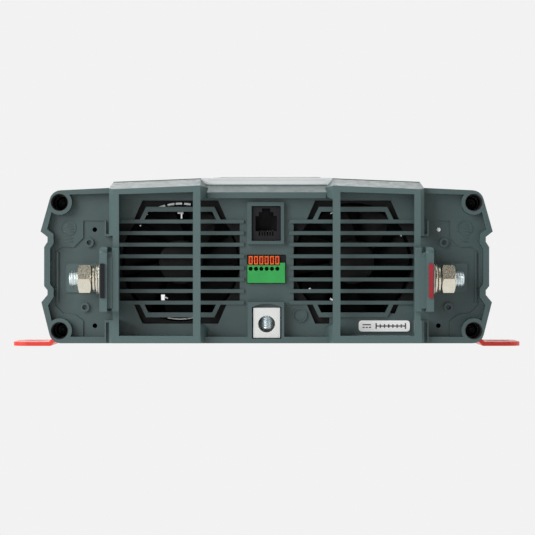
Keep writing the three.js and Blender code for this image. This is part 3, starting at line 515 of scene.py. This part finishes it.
def hex_nut(name, node, side):
    """A chamfered hex nut standing for a terminal's plain one."""
    low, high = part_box(node)
    middle = (low + high) / 2
    height = (high.x - low.x) / MM
    flat = (high.y - low.y) / MM / 2
    across = (high.z - low.z) / MM / 2
    apothem = min(flat, across)
    corner = apothem / math.cos(math.pi / 6)
    first = math.pi / 2 if across > flat else 0.0
    bore = 3.7
    steps = 72

    def build(bm):
        place = axis_frame(middle, (side, 0, 0))
        turn = place.to_3x3()
        columns = []
        for i in range(steps):
            angle = math.tau * i / steps
            direction = turn @ Vector((math.cos(angle), math.sin(angle), 0))
            world = math.atan2(direction.z, direction.y)
            off = (world - first + math.pi / 6) % (math.pi / 3) - math.pi / 6
            radius = min(corner, apothem / math.cos(math.pi / 6 - abs(off)))
            drop = max(0, radius - apothem) * math.tan(math.radians(32))
            flank = height / 2 - drop
            profile = [
                (bore, -height / 2 + 0.5),
                (bore + 0.6, -height / 2),
                (min(radius, apothem * 0.985), -height / 2),
                (radius, -flank),
                (radius, flank),
                (min(radius, apothem * 0.985), height / 2),
                (bore + 0.6, height / 2),
                (bore, height / 2 - 0.5),
            ]
            column = []
            for r, h in profile:
                point = Vector((r * math.cos(angle), r * math.sin(angle), h)) * MM
                column.append(bm.verts.new(place @ point))
            columns.append(column)
        for column, following in zip(columns, columns[1:] + columns[:1]):
            bridge(bm, column, following)

    return mesh_piece(name, build, "zinc", stands_for=(node,), smooth=24)


def split_washer(name, node, side):
    """A spring lock washer: one turn of square wire with an open cut."""
    low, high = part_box(node)
    middle = (low + high) / 2
    outer = (high.z - low.z) / MM / 2
    width = (high.x - low.x) / MM
    inner = outer - 2.3
    wire = width * 0.78
    steps = 56

    def build(bm):
        place = axis_frame(middle, (side, 0, 0))
        rings = []
        for i in range(steps + 1):
            share = i / steps
            angle = math.radians(4 + 352 * share) + math.radians(130)
            lift = (share - 0.5) * (width - wire)
            ring = []
            for r, h in (
                (inner, -wire / 2),
                (outer - 0.2, -wire / 2),
                (outer, -wire / 2 + 0.2),
                (outer, wire / 2 - 0.2),
                (outer - 0.2, wire / 2),
                (inner, wire / 2),
            ):
                point = Vector((r * math.cos(angle), r * math.sin(angle), h + lift)) * MM
                ring.append(bm.verts.new(place @ point))
            rings.append(ring)
        for lower, upper in zip(rings, rings[1:]):
            bridge(bm, lower, upper)
        bm.faces.new(rings[0])
        bm.faces.new(list(reversed(rings[-1])))

    return mesh_piece(name, build, "zinc", stands_for=(node,), smooth=30)


def flat_washer(name, node, side):
    """A plain washer with worn edges."""
    low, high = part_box(node)
    middle = (low + high) / 2
    outer = (high.z - low.z) / MM / 2
    half = (high.x - low.x) / MM / 2
    profile = [
        (4.1, -half),
        (outer - 0.25, -half),
        (outer, -half + 0.2),
        (outer, half - 0.35),
        (outer - 0.35, half),
        (4.3, half),
        (4.1, half - 0.2),
    ]

    def build(bm):
        add_lathe(bm, profile, middle, (side, 0, 0), 48)

    return mesh_piece(name, build, "zinc", stands_for=(node,), smooth=30)


def threaded_stud(name, node, side):
    """The threaded bar that a cable's lug goes on."""
    low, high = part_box(node)
    root = Vector((low.x if side > 0 else high.x, (low.y + high.y) / 2, (low.z + high.z) / 2))
    length = (high.x - low.x) / MM
    radius = (high.z - low.z) / MM / 2

    def build(bm):
        add_thread(bm, root, (side, 0, 0), length, radius, M8_PITCH_MM, 36, 0.62)

    return mesh_piece(name, build, "bright_screw", stands_for=(node,), smooth=50)


def dress_terminals():
    """Both DC terminals' fasteners, finished."""
    for side, pole in ((-1, "negative"), (1, "positive")):
        hex_nut(f"nut_{pole}", f"terminal_nut_{pole}", side)
        split_washer(f"lock_washer_{pole}", f"spring_washer_{pole}", side)
        flat_washer(f"plain_washer_{pole}", f"flat_washer_{pole}", side)
        threaded_stud(f"stud_{pole}", f"terminal_stud_{pole}", side)


# ------------------------------------------------------------------ DC end fittings


def jack_contacts():
    """Six sprung wires in the jack's cavity."""
    low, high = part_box("remote_jack")
    middle = (low.x + high.x) / 2
    floor = low.z + 2.5 * MM

    def build(bm):
        for i in range(6):
            x = middle + (i - 2.5) * 1.27 * MM
            for a, b in (((0, 2.0, 0.2), (0, 8.5, 0.8)), ((0, 2.0, 0.2), (0, 2.5, 2.2))):
                start = Vector((x, low.y, floor)) + Vector(a) * MM
                end = Vector((x, low.y, floor)) + Vector(b) * MM
                run = end - start
                profile = [(0, 0), (0.24, 0), (0.24, run.length / MM), (0, run.length / MM)]
                add_lathe(bm, profile, start, run, 8)

    mesh_piece("jack_contacts", build, "dull_contact", smooth=40)


def shade_release_slots():
    """A dark red floor in the screwdriver slot of each wire release: painted shade for the slot."""
    for i in range(6):
        low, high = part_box(f"wire_release_{i + 1}")
        middle = (low + high) / 2
        floor = low.y + 1.2 * MM

        def build(bm):
            add_block(
                bm,
                (middle.x - 0.46 * MM, floor - 0.12 * MM, middle.z - 1.3 * MM),
                (middle.x + 0.46 * MM, floor + 0.2 * MM, middle.z + 1.3 * MM),
                0.08,
            )

        piece_name = f"release_slot_{i + 1}"
        mesh_piece(piece_name, build, "slot_shade_red", body=f"release_{i + 1}", smooth=30)


def signal_block_painted_shade():
    """Dark strips of painted shade beside the wire releases: on the block's face left of the first, and
    across the notch right of the last.
    """
    low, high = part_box("signal_terminal_block")
    first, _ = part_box("wire_release_1")
    _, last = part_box("wire_release_6")

    def build(bm):
        gap = 0.12 * MM
        add_block(
            bm,
            (low.x + 0.02 * MM, low.y - 0.03 * MM, first.z),
            (first.x - gap, low.y + 0.1 * MM, high.z - 0.02 * MM),
        )
        add_block(
            bm,
            (last.x + gap, low.y + 1.2 * MM, DATUM_Z + 39.72 * MM),
            (high.x - 0.02 * MM, low.y + 1.4 * MM, high.z - 0.02 * MM),
        )

    mesh_piece("signal_block_painted_shade", build, "insert_black", smooth=30)


def lug_arch():
    """The moulded web that closes the arch over the ground lug."""
    half_width = 6.4
    arch_radius = 13.6
    arch_middle = 6.55
    lug_top = 18.38
    xs = [-half_width + 0.8 * i for i in range(17)]
    outline = [(x, arch_middle + math.sqrt(arch_radius**2 - x**2)) for x in xs]
    outline += [(half_width, lug_top), (-half_width, lug_top)]

    def build(bm):
        add_plate(bm, dc(0, 2.4 - RIM_DEPTH_MM, 0), outline, 1.0)

    mesh_piece("lug_arch_web", build, "slate", smooth=30)


def lug_screw():
    """The ground lug's set screw, standing across its wire hole."""
    low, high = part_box("ground_lug_screw")
    middle = (low + high) / 2
    head = Vector((middle.x, middle.y, high.z))
    length = (high.z - low.z) / MM
    radius = (high.x - low.x) / MM / 2

    def build(bm):
        add_thread(bm, head, (0, 0, -1), length, radius, 1.0, 32, 0.55)

    mesh_piece(
        "ground_set_screw",
        build,
        "bright_screw",
        stands_for=("ground_lug_screw",),
        smooth=50,
    )


def label_marks():
    """Generic marks on the rating label: the sign for direct current and a range bar."""
    low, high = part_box("rating_label")
    base = Vector((low.x, low.y, (low.z + high.z) / 2))
    ink = 0.03

    def bar(bm, x0, x1, z0, z1):
        add_block(bm, base + Vector((x0, -ink, z0)) * MM, base + Vector((x1, 0.02, z1)) * MM)

    def build(bm):
        bar(bm, 1.8, 5.8, 0.35, 0.95)
        for start in (1.8, 3.3, 4.8):
            bar(bm, start, start + 1.0, -0.95, -0.35)
        bar(bm, 8.0, 22.6, -0.3, 0.3)
        for i in range(8):
            x = 8.3 + 2.0 * i
            reach = 1.4 if i % 7 == 0 else 0.9
            bar(bm, x - 0.3, x + 0.3, -reach, reach)

    mesh_piece("rating_label_marks", build, "ink")


def cover_edge_shadow_line():
    """A thin line of painted shadow along the front edge of the roof, where a gap at the lip would be shaded.
    """
    front = dc(0, 1.3, 79.3)

    def build(bm):
        add_block(bm, front + Vector((-28, -0.03, -0.18)) * MM, front + Vector((28, 0.02, 0.18)) * MM)

    mesh_piece("cover_edge_shadow_line", build, "edge_shadow")


# ------------------------------------------------------------------ wings of the DC end


def well_shade_sleeves():
    """A dark sleeve of painted shade in each screw well of both end caps."""
    sleeve = [(3.75, 0), (4.1, 0), (4.1, 13.6), (3.75, 13.6)]
    for end, place, inward in (("front", dc, 1), ("rear", ac, -1)):
        def build(bm):
            for x in (-WELL_X_MM, WELL_X_MM):
                for z in WELL_HEIGHTS_MM:
                    add_lathe(bm, sleeve, place(x, -4.9, z), (0, inward, 0), 40)

        mesh_piece(f"{end}_well_shade_sleeves", build, "well_shade_black", smooth=30)


def wing_pads():
    """The spark-roughened patch on each wing's floor behind the terminal."""
    half_x, half_z, corner = 7.9, 6.8, 1.6
    outline = []
    for turn, (sx, sz) in enumerate(((1, 1), (-1, 1), (-1, -1), (1, -1))):
        for step in range(6):
            angle = math.radians(90 * turn + 18 * step)
            x = sx * (half_x - corner) + corner * math.cos(angle)
            z = sz * (half_z - corner) + corner * math.sin(angle)
            outline.append((x, z))

    def build(bm):
        for side in (-1, 1):
            add_plate(bm, dc(side * 87.9, -0.82, 32.4), outline, 0.4)

    mesh_piece("wing_pads", build, "slate_rough", smooth=40)


def moulding_marks():
    """Plain raised lines inside and below the round marks on the wing floors."""
    lines = ((58.0, 1.6), (56.9, 2.2), (55.7, 2.4), (54.5, 2.2), (51.3, 1.9), (49.7, 1.9))

    def build(bm):
        for side in (-1, 1):
            for z, half in lines:
                centre = dc(side * 94.5, -1.0, z)
                add_block(
                    bm,
                    centre + Vector((-half, -0.08, -0.2)) * MM,
                    centre + Vector((half, 0.3, 0.2)) * MM,
                    0.08,
                )

    mesh_piece("moulding_marks", build, "slate", smooth=40)


def wing_plug():
    """A white plug in the small hole at the top of the right wing's floor."""
    profile = [(0, -0.1), (0.7, 0), (1.0, 0.3), (1.0, 2.4), (0, 2.4)]
    mesh_piece(
        "wing_plug",
        lambda bm: add_lathe(bm, profile, dc(82.2, -0.2, 55.5), (0, 1, 0), 24),
        "label",
        smooth=40,
    )


# ------------------------------------------------------------------ fans


def fan_rotor(side):
    """A hub with seven curved blades, standing for the plain rotor."""
    name = "left" if side < 0 else "right"
    node = f"fan_rotor_{name}"
    low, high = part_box(node)
    joint = next(j for j in frame["joints"] if j["name"] == f"{name}_fan_spin")
    axis_x, axis_z = joint["pos_m"][0], joint["pos_m"][2]
    front, back = low.y, high.y
    depth = (back - front) / MM
    hub = 11.0
    tip = 27.2
    blades, spans, chords = 7, 6, 8

    def build(bm):
        origin = Vector((axis_x, front, axis_z))
        profile = [
            (0, 0.5),
            (hub - 2.2, 0.4),
            (hub - 0.6, 0.9),
            (hub, 2.2),
            (hub, depth),
            (hub - 1.3, depth),
            (hub - 1.3, depth - 5),
            (0, depth - 5),
        ]
        add_lathe(bm, profile, origin, (0, 1, 0), 40)
        for blade in range(blades):
            start = math.tau * blade / blades
            faces = []
            for skin in (-0.45, 0.45):
                grid = []
                for s in range(spans + 1):
                    share = s / spans
                    radius = hub - 0.3 + (tip - hub + 0.3) * share
                    chord = math.radians(40 - 6 * share)
                    row = []
                    for c in range(chords + 1):
                        t = c / chords
                        sweep = math.radians(16) * share
                        angle = start + sweep + chord * (t - 0.5) + skin * 0.5 / radius
                        rise = 0.9 + (depth - 2.0) * (t + 0.16 * math.sin(math.pi * t))
                        y = min(depth - 0.2, max(0.3, rise + skin * 0.6))
                        row.append(bm.verts.new(origin + Vector((
                            radius * math.cos(angle),
                            y,
                            radius * math.sin(angle),
                        )) * MM))
                    grid.append(row)
                faces.append(grid)
            front_skin, back_skin = faces
            for s in range(spans):
                for c in range(chords):
                    for grid in faces:
                        bm.faces.new((grid[s][c], grid[s + 1][c], grid[s + 1][c + 1], grid[s][c + 1]))
            edges = [((s, c), (s + 1, c)) for s in range(spans) for c in (0, chords)]
            edges += [((s, c), (s, c + 1)) for c in range(chords) for s in (0, spans)]
            for (s0, c0), (s1, c1) in edges:
                bm.faces.new((
                    front_skin[s0][c0],
                    front_skin[s1][c1],
                    back_skin[s1][c1],
                    back_skin[s0][c0],
                ))

    mesh_piece(
        f"rotor_{name}",
        build,
        "fan_black",
        body=f"{name}_fan",
        stands_for=(node,),
        smooth=38,
    )


def air_guides():
    """A black sheet behind each fan that turns the air down over the board, with a slot in the left."""
    for side, name in ((-1, "left"), (1, "right")):
        low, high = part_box(f"fan_frame_{name}")
        middle = (low.x + high.x) / 2
        columns = [-30, -11.3, -7.6, 30]
        heights = [69, 62, 55, 48, 41, 34, 25.0, 20.7, 14]

        def build(bm):
            grids = []
            for thick in (0, 0.6):
                grid = []
                for z in heights:
                    fall = (heights[0] - z) / (heights[0] - heights[-1])
                    y = high.y + (4 + 22 * fall**2 + thick) * MM
                    grid.append([bm.verts.new((middle + x * MM, y, DATUM_Z + z * MM)) for x in columns])
                grids.append(grid)
            front, back = grids

            def solid(row, column):
                inside = 0 <= row < len(heights) - 1 and 0 <= column < len(columns) - 1
                return inside and not (side < 0 and row == 6 and column == 1)

            for row in range(len(heights) - 1):
                for column in range(len(columns) - 1):
                    if not solid(row, column):
                        continue
                    corners = ((row, column), (row, column + 1), (row + 1, column + 1), (row + 1, column))
                    for grid in grids:
                        bm.faces.new([grid[r][c] for r, c in corners])
                    beside = ((row - 1, column), (row, column + 1), (row + 1, column), (row, column - 1))
                    for k, cell in enumerate(beside):
                        if solid(*cell):
                            continue
                        (r0, c0), (r1, c1) = corners[k], corners[(k + 1) % 4]
                        bm.faces.new((front[r0][c0], front[r1][c1], back[r1][c1], back[r0][c0]))

        mesh_piece(f"air_guide_{name}", build, "fan_black", smooth=40)


def fan_glint_wires():
    """White wire seen in short lengths round each fan's duct, placed as painted highlights for the glints and
    light seen through the fan.
    """
    def wire(bm, centre_x, radius, start, end, thick):
        steps = max(4, int(abs(end - start) / 2))
        rings = []
        for i in range(steps + 1):
            angle = math.radians(start + (end - start) * i / steps)
            ring = []
            for k in range(8):
                turn = math.tau * k / 8
                reach = radius + thick * math.cos(turn)
                x = centre_x + reach * math.cos(angle)
                z = FAN_HEIGHT_MM + reach * math.sin(angle)
                ring.append(bm.verts.new(dc(x, 2.5 + thick * math.sin(turn), z)))
            rings.append(ring)
        for first, second in zip(rings, rings[1:]):
            bridge(bm, first, second)
        bm.faces.new(rings[0])
        bm.faces.new(list(reversed(rings[-1])))

    def left(bm):
        for start, end in ((111.4, 105.2), (102.8, 96), (94.6, 88.4), (86.4, 80)):
            wire(bm, -FAN_X_MM, 28.0, start, end, 0.62)
        wire(bm, -FAN_X_MM, 27.3, 257, 283, 0.3)
        wire(bm, -FAN_X_MM, 23.6, 93.4, 86.6, 0.45)
        wire(bm, -FAN_X_MM, 27.8, 124.3, 125.7, 0.3)
        wire(bm, -FAN_X_MM, 26.0, 137, 138.6, 0.36)
        wire(bm, -FAN_X_MM, 18.4, 246, 251, 0.38)
        add_block(bm, dc(-41.2, 2.5, 60.8), dc(-40.4, 3.1, 63.2), 0.1)

    def right(bm):
        wire(bm, FAN_X_MM, 24.2, 211, 216.5, 0.55)
        wire(bm, FAN_X_MM, 20.6, 238, 243, 0.45)
        wire(bm, FAN_X_MM, 25.6, 112, 115, 0.3)
        wire(bm, FAN_X_MM, 26.4, 28, 30, 0.35)

    mesh_piece("fan_glint_left", left, "glint_white", smooth=50)
    mesh_piece("fan_glint_right", right, "glint_white", smooth=50)


# ------------------------------------------------------------------ screws


def pan_screw(name, node):
    """A cross-recessed pan head standing for a plain cap screw."""
    low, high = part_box(node)
    front = low.y < 0
    sign = 1 if front else -1
    origin = Vector(((low.x + high.x) / 2, low.y if front else high.y, (low.z + high.z) / 2))
    length = (high.y - low.y) / MM

    def build(bm):
        profile = [
            (0, 1.1),
            (0.9, 1.0),
            (1.15, 0.35),
            (2.2, 0.12),
            (3.1, 0.75),
            (3.4, 1.6),
            (3.4, 2.3),
            (1.6, 2.3),
            (1.5, length),
            (0, length),
        ]
        add_lathe(bm, profile, origin, (0, sign, 0), 28)

    mesh_piece(name, build, "screw", stands_for=(node,), smooth=35)


def foot_screws():
    """Two countersunk screws under each foot's inner plate."""
    for node in CAD_LOOKS["foot"]:
        low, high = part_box(node)
        side = 1 if low.x > 0 else -1
        inner = (low.x if side > 0 else high.x) + side * 5.8 * MM
        middle = (low.y + high.y) / 2

        def build(bm):
            for offset in (-9, 9):
                origin = Vector((inner, middle + offset * MM, low.z + 3.85 * MM))
                profile = [(0, 0.9), (0.8, 0.8), (1.1, 0.25), (2.9, 0.0), (3.0, 0.35), (1.6, 1.9), (0, 1.9)]
                add_lathe(bm, profile, origin, (0, 0, 1), 24)

        piece_name = node.replace("mounting_foot", "foot_screws")
        mesh_piece(piece_name, build, "screw", smooth=35)


# ------------------------------------------------------------------ AC end


def receptacle_details():
    """Blade contacts in the slots and the status light."""
    low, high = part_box("duplex_receptacle")
    face = high.y
    middle = Vector(((low.x + high.x) / 2, face, (low.z + high.z) / 2))

    def contacts(bm):
        for side in (-1, 1):
            for z in (6.7, -6.6):
                at = middle + Vector((side * 20, -4.5, z)) * MM
                add_block(bm, at - Vector((2.6, 0.6, 0.5)) * MM, at + Vector((2.6, 0.6, 0.5)) * MM)

    mesh_piece("receptacle_contacts", contacts, "gold")

    def light(bm):
        origin = middle + Vector((11.2, -0.1, 9.5)) * MM
        add_lathe(bm, [(0, 0.5), (0.8, 0.4), (1.1, 0), (1.1, -1), (0, -1)], origin, (0, 1, 0), 16)

    mesh_piece("receptacle_light", light, "green", smooth=40)


def status_lights():
    """Two small indicator lenses above the power switch."""
    low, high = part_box("power_switch_housing")
    middle = (low.x + high.x) / 2

    for index, (offset, look, slot) in enumerate(((-5, "green", "green_plastic"), (5, "red", "red_plastic"))):
        def build(bm):
            origin = Vector((middle - offset * MM, REAR_PANEL_Y + 0.75 * MM, high.z + 6 * MM))
            add_lathe(
                bm,
                [(0, 1.3), (0.8, 1.15), (1.4, 0.6), (1.5, 0), (1.5, -2), (0, -2)],
                origin,
                (0, 1, 0),
                24,
            )

        mesh_piece(f"status_light_{index + 1}", build, look, smooth=40)


# ------------------------------------------------------------------ inside


def board_parts():
    """Small parts on the circuit board."""
    low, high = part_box("main_circuit_board")
    top = high.z

    def coils(bm):
        for i, x in enumerate((-58, -44, 40, 56)):
            origin = Vector((x * MM, low.y + (14 + 10 * (i % 2)) * MM, top))
            add_lathe(bm, [(2.5, 0), (7.5, 0), (8.5, 2), (8.5, 6), (7.5, 8), (2.5, 8)], origin, (0, 0, 1), 28)

    mesh_piece("filter_coils", coils, "winding", smooth=30)

    def cans(bm):
        for i in range(8):
            x = -50 + 14 * i
            origin = Vector((x * MM, high.y - 20 * MM, top))
            profile = [(0, 0), (4.6, 0), (5, 0.4), (5, 15.5), (4.4, 16), (0, 15.6)]
            add_lathe(bm, profile, origin, (0, 0, 1), 24)

    mesh_piece("filter_capacitors", cans, "sleeve", smooth=30)

    def chips(bm):
        for i in range(6):
            x = -70 + 28 * i
            corner = Vector((x * MM, low.y + 34 * MM + (i % 3) * 9 * MM, top))
            add_block(bm, corner, corner + Vector((11, 7, 2.2)) * MM, 0.3)

    mesh_piece("board_chips", chips, "black")


# ------------------------------------------------------------------ stage


def stage():
    """A pale floor and backdrop, soft lights, and a camera square to the DC end."""
    scene = bpy.context.scene
    scene.view_settings.view_transform = "Standard"

    paper = srgb(242, 242, 242)
    pale = Look("stage_paper", roughness=1.0)
    pale.colour((0, 0, 0, 1))
    pale.shader.inputs["Specular IOR Level"].default_value = 0.0
    pale.shader.inputs["Emission Color"].default_value = paper
    pale.shader.inputs["Emission Strength"].default_value = 1.0

    mesh = bpy.data.meshes.new("stage_floor")
    bm = bmesh.new()
    bmesh.ops.create_circle(bm, cap_ends=True, radius=14.0, segments=64)
    bm.to_mesh(mesh)
    bm.free()
    floor = bpy.data.objects.new("stage_floor", mesh)
    mesh.materials.append(pale.material)
    scene.collection.objects.link(floor)

    world = bpy.data.worlds.new("studio")
    world.use_nodes = True
    background = world.node_tree.nodes["Background"]
    background.inputs["Color"].default_value = paper
    background.inputs["Strength"].default_value = 1.0
    scene.world = world

    def softbox(name, place, aim, size, power):
        lamp = bpy.data.lights.new(name, "AREA")
        lamp.shape = "RECTANGLE"
        lamp.size, lamp.size_y = size
        lamp.energy = power
        holder = bpy.data.objects.new(name, lamp)
        holder.location = place
        direction = Vector(aim) - Vector(place)
        holder.rotation_euler = direction.to_track_quat("-Z", "Y").to_euler()
        holder.visible_camera = False
        scene.collection.objects.link(holder)

    target = dc(0, 0, 40)
    softbox("key_left", (-0.85, -1.05, 0.5), target, (0.9, 0.9), 15)
    softbox("fill_low", (-0.25, -1.5, 0.12), target, (0.9, 0.3), 0.7)
    softbox("rim_back", (-0.35, 1.3, 0.62), target, (1.2, 0.5), 3)
    softbox("top", (-0.1, 0.5, 1.15), target, (0.6, 0.45), 2.8)

    # Dark flags behind and above the camera keep the shiny and hollow parts from washing out.
    def flag(name, place, half_width, half_height, colour):
        dark = Look(f"{name}_cloth", roughness=1.0)
        dark.colour(colour)
        flag_mesh = bpy.data.meshes.new(name)
        grid = bmesh.new()
        bmesh.ops.create_grid(grid, x_segments=1, y_segments=1, size=1.0)
        grid.to_mesh(flag_mesh)
        grid.free()
        flag_mesh.materials.append(dark.material)
        board = bpy.data.objects.new(name, flag_mesh)
        board.scale = (half_width, half_height, 1.0)
        board.location = place
        board.rotation_euler = (target - Vector(place)).to_track_quat("-Z", "Y").to_euler()
        board.visible_camera = False
        scene.collection.objects.link(board)

    flag("flag_back", (0, -2.6, 0.9), 2.4, 1.3, srgb(40, 42, 42))
    flag("flag_above", (0, -1.0, 1.7), 0.8, 0.42, srgb(92, 86, 72))

    # One frame width holds 254 mm at the cap's rim, seen from 0.9 m in front of it.
    distance = 0.9
    width = 0.2541
    camera = bpy.data.cameras.new("camera")
    camera.sensor_width = 36.0
    camera.lens = camera.sensor_width * distance / width
    camera.clip_start = 0.01
    camera.clip_end = 60
    holder = bpy.data.objects.new("camera", camera)
    rim = PANEL_Y - RIM_DEPTH_MM * MM
    holder.location = (0.4 * MM, rim - distance, DATUM_Z + 37.4 * MM)
    holder.rotation_euler = (math.pi / 2, 0, 0)
    scene.collection.objects.link(holder)
    scene.camera = holder


# ------------------------------------------------------------------ everything

dress_cad()
soften("front_end_cap", 0.4, 3)
soften("rear_end_cap", 0.4, 3)
for pole in ("negative", "positive"):
    soften(f"terminal_insulator_{pole}", 0.6, 3)
    soften(f"polarity_insert_{pole}", 0.15)
    soften(f"busbar_{pole}", 0.15)
for foot in CAD_LOOKS["foot"]:
    soften(foot, 0.3)
for small in (
    "signal_terminal_block",
    "ground_lug",
    "duplex_receptacle",
    "power_switch_housing",
    "power_rocker",
):
    soften(small, 0.2)
for index in range(6):
    soften(f"wire_release_{index + 1}", 0.15)

dress_terminals()
jack_contacts()
shade_release_slots()
signal_block_painted_shade()
lug_arch()
lug_screw()
label_marks()
cover_edge_shadow_line()
well_shade_sleeves()
wing_pads()
moulding_marks()
wing_plug()
fan_rotor(-1)
fan_rotor(1)
air_guides()
fan_glint_wires()
for end in ("front", "rear"):
    for index in range(4):
        pan_screw(f"{end}_screw_{index + 1}", f"{end}_cap_screw_{index + 1}")
foot_screws()
receptacle_details()
status_lights()
board_parts()
stage()
